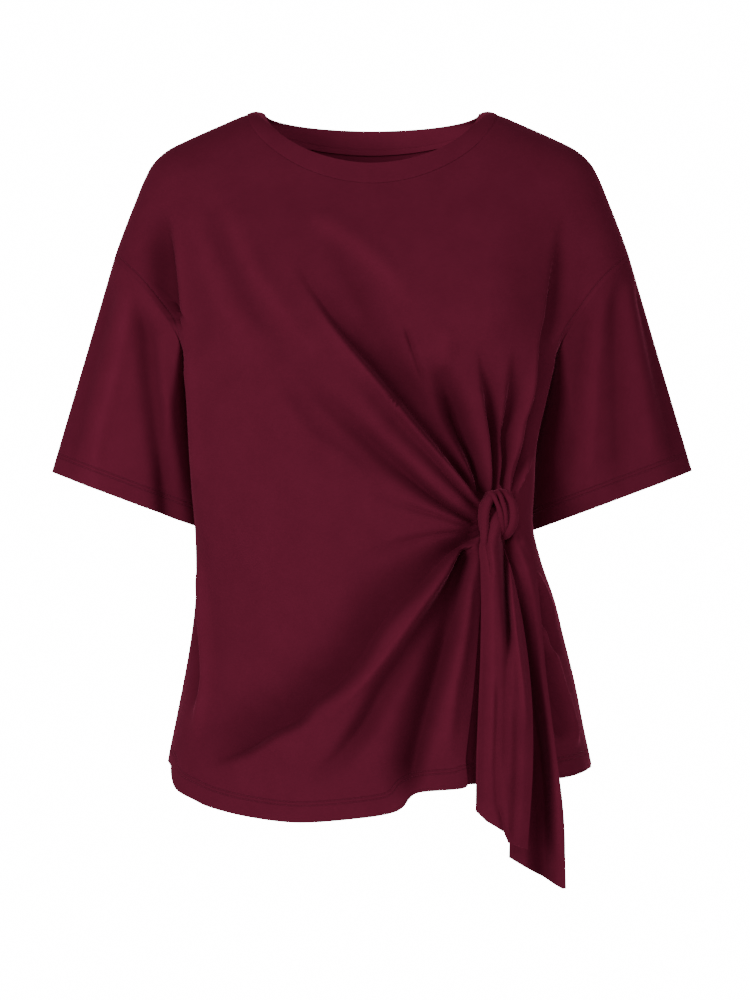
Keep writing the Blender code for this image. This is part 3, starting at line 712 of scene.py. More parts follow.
def panelTop(face, lowest, size):
    return np.vstack([
        sideLine(face, -1, shirt["neckTop"], shirt["dropPoint"], size["shoulderSteps"])[::-1],
        neckLine(face, lowest, size["neckSteps"])[1:],
        sideLine(face, 1, shirt["neckTop"], shirt["dropPoint"], size["shoulderSteps"])[1:],
    ])


def panelSide(face, side, size):
    arm = sideLine(face, side, shirt["dropPoint"], shirt["armpit"], size["armholeSteps"])
    seam = sideLine(-1, side, shirt["armpit"], shirt["sideHem"], size["sideSteps"])
    return np.vstack([arm, seam[1:]])


def frontOutline(size):
    left = hemLine(leftHem, size["hemSteps"])
    right = hemLine(rightHem, size["rightHemSteps"])
    left[0] = (-1.0, shirt["sideHem"])
    right[-1] = (1.0, shirt["sideHem"])
    top = panelTop(-1, shirt["neckFront"], size)
    return top, np.vstack([left, right]), panelSide(-1, -1, size), panelSide(-1, 1, size)


def frontRim(outline, size):
    top, bottom, left, right = outline
    hem, rest = size["hemSteps"], size["rightHemSteps"]
    slit = hem / (len(bottom) - 1)
    after = (hem + 1) / (len(bottom) - 1)
    down = np.linspace(1.0, 0.0, len(left))
    over = np.linspace(0.0, 1.0, len(top))
    return np.vstack([
        np.stack([np.linspace(slit, 0.0, hem + 1), np.ones(hem + 1)], axis=1),
        np.stack([np.zeros(len(left)), down], axis=1)[1:],
        np.stack([over, np.zeros(len(top))], axis=1)[1:],
        np.stack([np.ones(len(left)), down[::-1]], axis=1)[1:],
        np.stack([np.linspace(1.0, after, rest + 1), np.ones(rest + 1)], axis=1)[1:],
    ])


def frontGrid(outline, size):  # rings round the knot, on rays to the outline
    edge = frontRim(outline, size)
    scale = np.array([2 * shirt["halfGirth"], shirt["sideHem"]])
    count = size["searchSteps"]
    guess = np.meshgrid(np.linspace(*size["searchAcross"], count),
                        np.linspace(*size["searchDown"], count))
    guess = np.stack(guess, axis=-1).reshape(-1, 2)
    solid = inside(-1, outline, guess[:, 0], guess[:, 1])[0]
    miss = fromKnot(solid[:, 0], solid[:, 2])
    miss += size["behindWeight"] * np.maximum(0.0, solid[:, 1] - size["frontFrom"])
    centre = guess[miss.argmin()]
    reach = (edge - centre) * scale
    length = np.hypot(reach[:, 0], reach[:, 1])[:, None]
    rings = size["rings"]
    q = np.linspace(0.0, 1.0, rings + 1)
    steps = q - size["crowding"] * np.sin(2 * math.pi * q) / (2 * math.pi)
    rows = []
    flats = []
    for k, value in enumerate(np.append(steps[:-1], (1.0, 1.0))):
        out = shirt["knotRing"] + (length - shirt["knotRing"]) * value
        if k <= rings:
            out = np.minimum(out, length - shirt["edgeStrip"])
        flat = centre + reach / length * out / scale
        points, cloth = inside(-1, outline, flat[:, 0], flat[:, 1])
        rows.append(points)
        flats.append(cloth)
    grid = np.array(rows)
    middle = (shirt["knot"][0], grid[0, :, 1].mean(), -shirt["knot"][1])
    away = np.sqrt(((grid - middle) ** 2).sum(axis=-1))
    grid[..., 1] += size["funnel"] * np.exp(-(away / size["funnelWidth"]) ** 2)
    turn = np.arange(len(edge))[::-1] / size["rightHemSteps"]
    behind = (1.0 - ease(turn, 0.0, size["slitTurn"])) * ease(away, *size["slitAway"])
    grid[..., 1] += size["slitSink"] * behind
    grid[..., 0] -= size["slitLap"] * behind
    return grid, np.array(flats)


def lowerRightHem(grid):
    by, across, down = shirt["lowerRight"]
    grid[..., 2] -= by * ease(grid[..., 0], *across) * ease(-grid[..., 2], *down)


outline = frontOutline(frontPanel)
front, frontFlat = frontGrid(outline, frontPanel)
lowerRightHem(front)
corner = np.cumsum([frontPanel[key] for key in (
    "hemSteps", "sideSteps", "armholeSteps", "shoulderSteps", "neckSteps",
    "shoulderSteps", "armholeSteps", "sideSteps")])
for first, last in ((corner[2], corner[3]), (corner[4], corner[5])):
    front[-1, first:last + 1, 1] = -shirt["seam"] / 2
frontBase = front.copy()


def thin(line, step=4):
    return np.vstack([line[::step], line[-1:]])


def raiseFolds(grid, folds, facing, seams, reach=crease["seamReach"]):
    normal = facingNormals(grid, facing)
    flat = grid.reshape(-1, 3)
    away = fromKnot(flat[:, 0], flat[:, 2])
    narrow = crease["narrowest"] + (1 - crease["narrowest"]) * ease(away, *crease["narrowWithin"])
    rise = crease["gain"] * foldSum(folds, flat[:, (0, 2)] * (1, -1), narrow)
    rise *= ease(facing * normal.reshape(-1, 3)[:, 1], *crease["steep"])
    rise *= ease(fromLines(flat, [thin(line) for line in seams]), *reach)
    rise = rise.reshape(grid.shape[:2])
    # the folds' painted shade in troughs and painted highlight on ridges, for the cloth colour
    return grid + normal * rise[..., None], paintedShade(rise)


frontSeams = [frontBase[-1, corner[0]:corner[7] + 1]]
front, frontPaintedShade = raiseFolds(front, frontFolds, -1, frontSeams, frontPanel["seamReach"])
calm = ease(fromKnot(frontBase[..., 0], frontBase[..., 2]), *frontPanel["calmWithin"])
calm = frontPanel["calm"] + (1 - frontPanel["calm"]) * calm
front = frontBase + (front - frontBase) * calm[..., None]


def gapsOf(grid, hems, seams):
    flat = grid.reshape(-1, 3)
    shape = grid.shape[:2]
    out = [("hemGap", fromLines(flat, [thin(line, 3) for line in hems]).reshape(shape))]
    if seams:
        out.append(("seamGap", fromLines(flat, [thin(line, 3) for line in seams]).reshape(shape)))
    return out


frontGaps = gapsOf(frontBase, (frontBase[-1, :corner[0] + 1], frontBase[-1, corner[7]:]),
                   (frontBase[-1, corner[1]:corner[2] + 1], frontBase[-1, corner[5]:corner[6] + 1]))
frontPiece = layCloth("frontCloth", front, frontFlat, gaps=frontGaps + [frontPaintedShade])
belongs(frontPiece, "front", jerseyMaterial("frontJersey"))


# ---- back ----
backPanel = {
    "neckSteps": 84,
    "shoulderSteps": 40,
    "armholeSteps": 70,
    "sideSteps": 60,
    "hemPower": 4,
    "neckTuck": 0.4,            # the allowance goes in by this at the neck
    "armTuck": (0.8, 0.4),      # and at the armholes: across, down
}
backFolds = (
    (5.5, 20, 24, 0.10, 0.50, ((130, 372), (80, 330), (20, 270), (-50, 195), (-110, 120))),
    (-5, 14, 18, 0.10, 0.55, ((130, 366), (90, 322), (40, 280), (-10, 240), (-60, 200))),
    (-6.5, 18, 16, 0.10, 0.50, ((128, 360), (90, 290), (60, 220), (40, 140), (34, 90))),
    (4, 12, 14, 0.10, 0.50, ((132, 350), (116, 280), (104, 210), (100, 140))),
    (-5, 12, 12, 0.10, 0.50, ((136, 350), (130, 290), (128, 230), (134, 160))),
    (6, 22, 18, 0.10, 0.60, ((122, 400), (70, 425), (10, 458), (-60, 508), (-140, 590))),
    (-5.5, 16, 14, 0.10, 0.60, ((124, 406), (80, 440), (30, 490), (-20, 550), (-50, 610))),
    (-8, 18, 15, 0.10, 0.75, ((128, 412), (96, 470), (64, 530), (44, 600), (40, 630))),
    (5, 14, 16, 0.10, 0.75, ((132, 416), (120, 480), (104, 550), (96, 620))),
    (-4, 12, 16, 0.20, 0.70, ((-150, 90), (-138, 140), (-130, 200), (-128, 280))),
    (4, 14, 12, 0.20, 0.70, ((-130, 80), (-118, 140), (-108, 210), (-104, 300))),
    (-4, 14, 14, 0.20, 0.70, ((-20, 60), (-24, 120), (-34, 180), (-50, 240))),
    (3.5, 14, 10, 0.20, 0.70, ((-152, 380), (-150, 450), (-154, 520), (-160, 590))),
    (-4.5, 12, 14, 0.20, 0.80, ((-130, 420), (-124, 500), (-126, 560), (-130, 620))),
)


def withStrips(count, size):
    strip = shirt["edgeStrip"] / size
    return np.concatenate([[0.0, strip], np.linspace(0.0, 1.0, count)[1:-1], [1.0 - strip, 1.0]])


def backGrid(size):
    top = panelTop(1, shirt["neckBack"], size)
    s = np.linspace(-1.0, 1.0, len(top))
    curve = (shirt["backHem"] - shirt["sideHem"]) * (1 - s ** size["hemPower"])
    bottom = np.stack([s, shirt["sideHem"] + curve], axis=1)
    sides = [panelSide(1, -1, size), panelSide(1, 1, size)]
    u, v = np.meshgrid(withStrips(len(top), 2 * shirt["halfGirth"]),
                       withStrips(len(sides[0]), shirt["sideHem"]))
    points, cloth = inside(1, (top, bottom, *sides), u.ravel(), v.ravel())
    return points.reshape(*u.shape, 3), cloth.reshape(*u.shape, 2)


back, backFlat = backGrid(backPanel)
shoulder = backPanel["shoulderSteps"] + 2
arm = backPanel["armholeSteps"] + 1
back[0, :shoulder, 1] = shirt["seam"] / 2
back[0, -shoulder:, 1] = shirt["seam"] / 2
back[arm:, :2, 1] += shirt["seam"]
back[arm:, -2:, 1] += shirt["seam"]
lowerRightHem(back)
backBase = back.copy()
back, backPaintedShade = raiseFolds(back, backFolds, 1, (backBase[0], backBase[:, 0], backBase[:, -1]))
backGaps = gapsOf(backBase, (backBase[-1],), (backBase[:arm + 1, 0], backBase[:arm + 1, -1]))


def withAllowance(grid, flat, gaps):  # the back's edges pass under the front at the seams
    wide = np.pad(grid, ((1, 0), (1, 1), (0, 0)), mode="edge")
    flat = np.pad(flat, ((1, 0), (1, 1), (0, 0)), mode="edge")
    lap = shirt["seamLap"]
    for columns in (slice(0, shoulder + 1), slice(-shoulder - 1, None)):
        wide[0, columns] -= (0.0, lap, lap / 2)
    wide[0, shoulder + 1:-shoulder - 1, 2] += backPanel["neckTuck"]
    out, low = backPanel["armTuck"]
    for side, column in ((-1, 0), (1, -1)):
        wide[arm + 1:, column] -= (side * lap / 2, lap, 0.0)
        wide[1:arm + 1, column] -= (side * out, 0.0, low)
        flat[:, column, 0] += side * lap
    flat[0, :, 1] -= lap
    gaps = [(label, np.pad(gap, ((1, 0), (1, 1)), mode="edge")[::-1]) for label, gap in gaps]
    return wide[::-1], flat[::-1], gaps


backWide, backWideFlat, backWideGaps = withAllowance(back, backFlat, backGaps + [backPaintedShade])
backPiece = layCloth("backCloth", backWide, backWideFlat, gaps=backWideGaps,
                     insidePaintedLight=jersey["insidePaintedLight"])
belongs(backPiece, "back", jerseyMaterial("backJersey", jersey["backPaintedShade"]))


# ---- sleeves ----
sleeve = {
    "rings": 88,
    "cuffCentre": (226.0, 2.0, 361.5),
    "cuffHalfWidth": 75.7,
    "cuffHalfDepth": 50.0,
    "cuffTilt": math.radians(20.5),
    "innerReach": 7.0,      # how much further in the right cuff goes
    "cuffPower": 0.72,
    "underFrom": (190.0, 230.0),
    "firstRing": 0.01,
    "tuck": 3.0,
    "tuckIn": (1.4, 2.6),   # everywhere, and more under the arm
    "flatLength": 200.0,
    # painted light: the left sleeve's jersey is painted lighter and the right one's darker, for how the
    # light falls on them
    "paintedLight": {-1: 1.05, 1: 0.92},
}
# folds of each sleeve, with x as half width: the front's, then the back's
sleeveFolds = {
    -1: (
        ((4.2, 7, 9, 0.20, 0.85, ((213, 90), (216, 141), (224, 187), (236, 246), (251, 306),
          (255, 350))),
         (-8, 12, 9, 0.25, 0.95, ((209, 150), (207, 190), (205, 235), (200, 280), (191, 340),
          (186, 385))),
         (-4.0, 9.0, 9.0, 0.20, 0.80, ((238, 150), (250, 200), (268, 270), (280, 330))),
         (2.5, 6.0, 6.0, 0.20, 0.80, ((198, 200), (190, 260), (180, 330), (176, 370)))),
        ((5.0, 10.0, 10.0, 0.20, 0.80, ((214, 100), (222, 180), (240, 270), (256, 340))),
         (-6.0, 10.0, 10.0, 0.20, 0.80, ((204, 150), (204, 220), (200, 300), (196, 360)))),
    ),
    1: (
        ((-2.0, 9.0, 9.0, 0.20, 0.80, ((206, 150), (198, 205), (190, 269), (182, 306), (172, 350))),
         (3.2, 8.0, 8.0, 0.20, 0.85, ((214, 130), (208, 190), (204, 260), (199, 350))),
         (-4.5, 9.0, 8.0, 0.20, 0.85, ((224, 130), (224, 190), (226, 260), (228, 345))),
         (3.0, 9.0, 9.0, 0.20, 0.85, ((233, 130), (240, 190), (250, 270), (262, 340))),
         (-4.2, 8.0, 8.0, 0.20, 0.85, ((243, 150), (256, 210), (272, 280), (284, 330)))),
        ((5.0, 12.0, 10.0, 0.20, 0.80, ((216, 100), (226, 180), (246, 270), (260, 340))),
         (-5.0, 10.0, 12.0, 0.20, 0.80, ((202, 150), (200, 220), (198, 300), (196, 360)))),
    ),
}


def sleeveGrid(side, frontEdge, backEdge, size):
    loop = np.vstack([frontEdge, backEdge[::-1][1:-1]])
    steps = lengthAlong(np.vstack([loop, loop[:1]]))
    turn = 2 * math.pi * steps[:-1] / steps[-1]
    wider = size["innerReach"] if side > 0 else 0.0
    out = (size["cuffHalfWidth"] + wider / 2) * np.cos(turn)
    x, y, drop = size["cuffCentre"]
    x -= wider / 2 * math.cos(size["cuffTilt"])
    flatter = np.abs(np.sin(turn)) ** size["cuffPower"]
    cuff = np.stack([
        side * (x + out * math.cos(size["cuffTilt"])),
        y - size["cuffHalfDepth"] * np.sign(np.sin(turn)) * flatter,
        -drop + out * math.sin(size["cuffTilt"]),
    ], axis=1)
    along = cuff - loop
    length = np.linalg.norm(along, axis=1)
    along = along / length[:, None]
    under = ease(-loop[:, 2], *size["underFrom"])
    start = loop + along * shirt["seam"]
    start = start + under[:, None] * np.array([side * (shirt["wall"] + 1.0), 0.0, 0.0])
    share = np.insert(np.linspace(0.0, 1.0, size["rings"] + 1), 1, size["firstRing"])
    grid = np.array([(1 - t) * start + t * cuff for t in share])
    middle = start.mean(axis=0)
    inward = (middle - start) / np.linalg.norm(middle - start, axis=1)[:, None]
    inward *= size["tuckIn"][0] + size["tuckIn"][1] * under[:, None]
    grid = np.concatenate([(start - along * size["tuck"] + inward)[None], grid])
    share = np.append(-size["tuck"] / size["flatLength"], share)[:, None]
    around = np.tile(steps, (len(share), 1))
    flat = np.stack([around, share * np.append(length, length[0])], axis=-1)
    return grid, flat, start


def sleeveFoldRise(grid, normal, folds, start):
    flat = grid.reshape(-1, 3)
    facing = normal.reshape(-1, 3)[:, 1]
    points = np.stack([np.abs(flat[:, 0]), -flat[:, 2]], axis=1)
    rise = np.zeros(len(flat))
    for face, rows in zip((-1, 1), folds):
        part = foldSum(rows, points, fading=crease["sleeveFading"])
        rise += part * ease(face * facing, *crease["steep"])
    rise *= ease(fromLines(flat, [thin(start)]), *crease["seamReach"])
    return rise.reshape(grid.shape[:2])


armFront = {-1: front[-1, corner[1]:corner[2] + 1][::-1], 1: front[-1, corner[5]:corner[6] + 1]}
armRows = [0] + list(range(2, backPanel["armholeSteps"] + 2))
armBack = {-1: back[armRows, 0], 1: back[armRows, -1]}
sleeves = {}
for side, node, name in ((-1, "sleeve_left", "sleeveLeft"), (1, "sleeve_right", "sleeveRight")):
    grid, flat, start = sleeveGrid(side, armFront[side], armBack[side], sleeve)
    cuffGap = gapsOf(grid, (np.vstack([grid[-1], grid[-1, :1]]),), ())
    normal, turn = outwardNormals(grid)
    rise = sleeveFoldRise(grid, normal, sleeveFolds[side], start)
    grid = grid + normal * rise[..., None]
    gaps = [(label, gap[::turn]) for label, gap in cuffGap + [paintedShade(rise)]]
    piece = layCloth(name + "Cloth", grid[::turn], flat[::turn], closed=True, gaps=gaps)
    belongs(piece, node, jerseyMaterial(name + "Jersey", sleeve["paintedLight"][side]))
    sleeves[side] = (piece, grid, cuffGap[0][1])


# ---- neckband ----
neckband = {
    "width": 18.5,
    "arch": 2.5,
    "wall": 1.6,
    "rows": 18,
    "tuck": 3.5,
    "rimTop": 3.0,          # drop of the top edge at the shoulders
    "rimLift": 0.8,
    "lean": 0.07,           # how much smaller from front to back the top edge is
    "seated": 0.9,
    "seatedIn": 0.99,       # share of the depth that the seated edge keeps
    "tuckedIn": 0.985,      # and the allowance, across as well
    "topOut": 2.0,
}


def bandGrid(size):
    behind = back[0, shoulder - 1:shoulder + backPanel["neckSteps"]]
    lower = np.vstack([front[-1, corner[3]:corner[4] + 1], behind[::-1][1:-1]])
    halfNeck = shirt["neckHalfWidth"]
    rows = []
    for q in np.linspace(0.0, 1.0, size["rows"]):
        ring = []
        for x, y, z in lower:
            lowest = shirt["neckFront"] if y < 0 else shirt["neckBack"]
            down = max(0.0, (-z - shirt["neckTop"]) / (lowest - shirt["neckTop"]))
            topX = x * (halfNeck - size["width"] + size["topOut"]) / halfNeck
            high = size["rimTop"]
            topZ = -(high + down * (lowest - size["width"] - high - size["rimLift"]))
            lift = size["arch"] * (1 - down) * 4 * q * (1 - q)
            ring.append((x + (topX - x) * q, y * (1 - size["lean"] * q), z + (topZ - z) * q + lift))
        rows.append(ring)
    grid = np.array(rows)
    up = grid[1] - grid[0]
    up /= np.linalg.norm(up, axis=1)[:, None]
    tuck = grid[0] - up * size["tuck"]  # the seam allowance, inside the panels
    tuck[:, :2] *= size["tuckedIn"]
    grid[0] = grid[0] * (1.0, size["seatedIn"], 1.0) + up * size["seated"]
    grid = np.concatenate([tuck[None], grid])
    around = lengthAlong(np.vstack([lower, lower[:1]]))
    up = np.concatenate([[-size["tuck"]], np.linspace(0.0, size["width"], size["rows"])])
    flat = np.stack(np.meshgrid(around, up), axis=-1)
    return grid, flat


band, bandFlat = bandGrid(neckband)
middle = band.mean(axis=(0, 1))
outward = (gridNormals(band, True) * (band - middle))[..., :2].sum(axis=-1).mean()
if outward < 0:
    band, bandFlat = band[::-1], bandFlat[::-1]
bandPiece = layCloth("neckbandCloth", band, bandFlat, closed=True, wall=neckband["wall"],
                     insidePaintedLight=jersey["insidePaintedLight"])
belongs(bandPiece, "neckband", jerseyMaterial("neckbandJersey"))


# ---- tails of the knot ----
# drop, left edge, right edge, depth of the left edge, the middle and the right edge
frontTail = (
    (370, 112.5, 117, -117, -119.5, -117),
    (379, 106.5, 118.5, -119, -123, -119),
    (388, 102.5, 119, -117, -123.5, -117),
    (400, 97.5, 118.5, -112, -121, -111),
    (420, 98, 124.5, -112, -121, -108),
    (452, 98.5, 132, -115, -124, -110),
    (487, 98, 138, -118, -128, -114),
    (540, 96, 143.5, -120, -130, -118),
    (590, 94, 144.5, -122, -131, -121),
    (674, 93, 139.5, -124, -132, -126),
)
backTail = (
    (388, 120, 138, -96, -103, -94),
    (400, 121, 143, -96, -104, -93),
    (420, 122, 147.5, -95, -103, -92),
    (460, 124, 152, -93, -101, -93),
    (520, 126, 157.5, -90, -99, -97),
    (580, 126, 165, -90, -98, -102),
    (640, 125, 172.5, -95, -102, -107),
    (712, 123, 175, -102, -106, -110),
)
# lower ends: share of the width, drop
frontTailEnd = ((0, 640), (0.2, 649), (0.42, 655), (0.52, 658), (0.62, 668), (1, 674))
backTailEnd = ((0, 684), (0.1, 687), (0.5, 699), (0.94, 711.5), (1, 711))
frontTailFolds = (
    (-15, 4, 3.6, 0.10, 0.60, ((118.5, 388), (119.2, 405), (119.9, 420), (121.2, 451),
     (122.8, 484), (122.5, 515))),
    (-3, 4, 4, 0.20, 0.70, ((122, 490), (120.5, 530), (119.5, 576), (119, 620))),
    (3.5, 5, 5, 0.10, 0.60, ((107, 396), (107, 440), (107.5, 500), (107, 560), (105, 620))),
    (5, 2.8, 3, 0.10, 0.60, ((120.5, 400), (124, 430), (128.4, 469), (133, 504), (137, 540),
     (139, 580))),
    (-2.6, 3, 4, 0.20, 0.80, ((113, 520), (112, 560), (111, 610), (114, 655))),
    (-3, 5, 4, 0.30, 0.90, ((129, 530), (130, 580), (129, 620), (126, 670))),
    (-2, 2.5, 2.5, 0.30, 0.90, ((100.5, 470), (99.5, 520), (98, 580), (97, 640))),
    (-3, 2.5, 3, 0.50, 0.95, ((114, 630), (116, 645), (119, 662))),
    (-3, 1.8, 1.8, 0.10, 0.60, ((105, 384), (103.4, 392), (103.8, 402), (106.5, 420), (107, 440))),
)
backTailFolds = (
    (-17, 16, 7, 0.20, 0.95, ((127, 440), (136, 500), (147, 560), (155, 620), (157, 720))),
    (2.5, 4, 4, 0.02, 0.90, ((135, 400), (145, 440), (151, 480), (154, 520), (161, 580),
     (168, 640), (171, 690))),
    (-3, 3, 3.5, 0.02, 0.40, ((132, 396), (138, 408), (144, 424))),
    (2, 5, 5, 0.20, 0.90, ((134, 600), (138, 650), (140, 700))),
)


tail = {"rows": 150, "columns": 70, "flatWidening": 1.2}


def tailGrid(table, end, rows, cols):
    across = np.linspace(0.0, 1.0, cols)
    top = table[0][0]
    grid = []
    last = np.interp(across, [u for u, drop in end], [drop for u, drop in end])
    for t in np.linspace(0.0, 1.0, rows):
        drop = top + (last - top) * t
        left, right, leftY, middleY, rightY = [flow(table, drop, k) for k in (1, 2, 3, 4, 5)]
        bow = 4 * across * (1 - across)
        y = (1 - across) * leftY + across * rightY + (middleY - (leftY + rightY) / 2) * bow
        grid.append(np.stack([left + (right - left) * across, y, -drop], axis=1))
    grid = np.array(grid)
    flat = np.stack([grid[..., 0] * tail["flatWidening"], -grid[..., 2]], axis=-1)
    return grid[::-1], flat[::-1]


def tailFolds(grid, folds):
    rise = foldSum(folds, grid.reshape(-1, 3)[:, (0, 2)] * (1, -1)).reshape(grid.shape[:2])
    out = grid.copy()
    out[..., 1] -= rise
    return out, paintedShade(rise)


for name, node, table, end, folds in (
        ("frontTail", "tie_front", frontTail, frontTailEnd, frontTailFolds),
        ("backTail", "tie_back", backTail, backTailEnd, backTailFolds)):
    grid, flat = tailGrid(table, end, tail["rows"], tail["columns"])
    grid, paintedLight = tailFolds(grid, folds)
    piece = layCloth(name + "Cloth", grid, flat, gaps=[paintedLight])
    belongs(piece, node, jerseyMaterial(name + "Jersey"))


# ---- knot ----
knot = {
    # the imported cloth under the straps: centre as x, y, drop, then half sizes
    "core": ((112.5, -99.0, 375.0), (13.5, 18.0, 17.0)),
    "root": ((113.5, -89.0, 373.0), (18.0, 15.0, 22.0)),
    "around": 40,
    "along": 48,
    "pleats": (0.05, 9.0, 5.0),     # height as a share, turns round, turns from front to back
    # section of a strap, rounded by powers and lumpy: height as a share, turns, shift
    "endPower": 10,
    "endLeast": 0.02,
    "sidePower": 0.85,
    "lumps": (0.10, 3, 0.6),
    "fineLumps": (0.05, 5),
    "girth": 2.4,                   # of a strap, in widths
    "smoothBelow": 60,              # degrees
}
# straps that wrap the knot: thickness, then rows of x, y, drop, width
knotStraps = (
    (6.5, ((118, -100, 361, 6), (113, -113, 356, 8.5), (107, -118, 359, 9), (102.5, -120.5, 367, 9),
           (101, -121, 377, 8.5), (101.2, -119, 388, 8), (101.5, -115, 400, 8),
           (102, -108, 412, 8))),
    (3.8, ((105, -112, 354.5, 3), (108.5, -120, 356, 3.8), (111.5, -123.5, 362, 4.2),
           (114.5, -125, 370, 4.4), (116.3, -123, 379, 4.4), (117, -117, 388, 4), (116, -108, 394, 4))),
    (3.8, ((111, -110, 352.5, 3), (114.5, -119, 355.5, 4), (117, -123, 362, 4.4),
           (119.2, -123.5, 371, 4.6), (120, -121, 381, 4.4), (118.5, -113, 391, 4))),
    (6.5, ((113, -104, 353, 6), (120, -115, 356, 8), (125.5, -119, 363, 8.5), (127.6, -120, 373, 9),
           (126.6, -118, 383, 9), (122, -112, 391.5, 8), (115, -102, 396, 6))),
    (6.0, ((124, -96, 360, 6), (128.5, -102, 370, 7), (129, -102, 380, 7), (124, -98, 392, 6))),
    (6.0, ((101, -98, 362, 6), (99, -105, 372, 7), (99, -105, 382, 7), (101, -100, 392, 6))),
)


def strapGrid(thick, rows, size):
    line = rounded([row[:2] + (-row[2],) for row in rows], 12)
    t = np.linspace(0.0, 1.0, size["along"])
    place = lengthAlong(line)
    line = np.stack([np.interp(t * place[-1], place, line[:, k]) for k in range(3)], axis=1)
    width = np.interp(t, np.linspace(0.0, 1.0, len(rows)), [row[3] for row in rows])
    ends = np.sqrt(np.clip(1 - (2 * t - 1) ** size["endPower"], 0.0, 1.0)) + size["endLeast"]
    tangent = np.gradient(line, axis=0)
    tangent /= np.linalg.norm(tangent, axis=1)[:, None]
    x, y, drop = size["core"][0]
    out = line - (x, y, -drop)
    out -= (out * tangent).sum(axis=1)[:, None] * tangent
    out /= np.linalg.norm(out, axis=1)[:, None]
    sideways = np.cross(tangent, out)
    angle = np.linspace(0.0, 2 * math.pi, size["around"] + 1)[:-1]
    high, turns, shift = size["lumps"]
    low, many = size["fineLumps"]
    lump = 1.0 + high * np.cos(turns * angle + shift) + low * np.cos(many * angle)
    flatten = np.sign(np.cos(angle)) * np.abs(np.cos(angle)) ** size["sidePower"]
    across = flatten[None] * (width * ends / 2)[:, None]
    up = np.sin(angle)[None] * lump[None] * (thick * ends / 2)[:, None]
    grid = line[:, None] + sideways[:, None] * across[..., None] + out[:, None] * up[..., None]
    around = np.linspace(0.0, size["girth"] * width.mean(), size["around"] + 1)
    flat = np.stack([np.tile(around, (size["along"], 1)),
                     np.tile(t[:, None] * place[-1], (1, len(around)))], axis=-1)
    return grid, flat


def closeEnds():  # caps both open rims of the tube in hand
    bpy.ops.object.mode_set(mode="EDIT")
    bpy.ops.mesh.select_all(action="SELECT")
    bpy.ops.mesh.remove_doubles(threshold=joinWithin)
    bpy.ops.mesh.select_all(action="DESELECT")
    bpy.ops.mesh.select_non_manifold(extend=False)
    bpy.ops.mesh.edge_face_add()
    bpy.ops.mesh.select_all(action="SELECT")
    bpy.ops.mesh.normals_make_consistent(inside=False)
    bpy.ops.object.mode_set(mode="OBJECT")


def knotPiece():
    parts = []
    for number, (thick, rows) in enumerate(knotStraps):
        grid, flat = strapGrid(thick, rows, knot)
        parts.append(gridPiece("knotStrap%d" % number, grid, flat, closed=True))
        closeEnds()
    for (x, y, drop), halves in (knot["root"], knot["core"]):
        bpy.ops.object.select_all(action="DESELECT")
        bpy.ops.mesh.primitive_uv_sphere_add(segments=48, ring_count=32, radius=1.0)
        core = bpy.context.object
        core.data.uv_layers[0].name = "cloth"
        points = np.empty(len(core.data.vertices) * 3)
        core.data.vertices.foreach_get("co", points)
        points = points.reshape(-1, 3)
        high, turns, through = knot["pleats"]
        turn = np.arctan2(points[:, 0], points[:, 2])
        pleat = 1.0 + high * np.sin(turns * turn + through * points[:, 1])
        points = points * pleat[:, None] * np.array(halves) + (x, y, -drop)
        core.data.vertices.foreach_set("co", (points * mm).ravel())
        core.data.update()
        parts.append(core)
    for part in parts:
        part.select_set(True)
    bpy.context.view_layer.objects.active = core
    bpy.ops.object.join()
    core.name = "knotCloth"
    core.data.name = "knotCloth"
    bpy.ops.object.shade_smooth_by_angle(angle=math.radians(knot["smoothBelow"]))
    return core


knotCloth = knotPiece()
belongs(knotCloth, "knot", jerseyMaterial("knotJersey"))
print("knot tied")


# ---- stitching ----
stitch = {
    "pitch": 3.1,
    "length": 2.5,
    "width": 0.5,
    "height": 0.30,
    "lift": 0.02,
    "ahead": 0.8,           # where its direction is taken
    "clear": 4,             # columns left free at the ends of an armhole
}


def rowAtGap(grid, normal, gap, value, columns):
    out = []
    for j in columns:
        g = gap[::-1, j]
        k = int(np.argmax(g >= value))
        if k == 0:
            continue
        t = (value - g[k - 1]) / (g[k] - g[k - 1])
        both = np.concatenate([grid[::-1, j], normal[::-1, j]], axis=1)
        out.append(both[k - 1] + (both[k] - both[k - 1]) * t)
    return np.array(out)


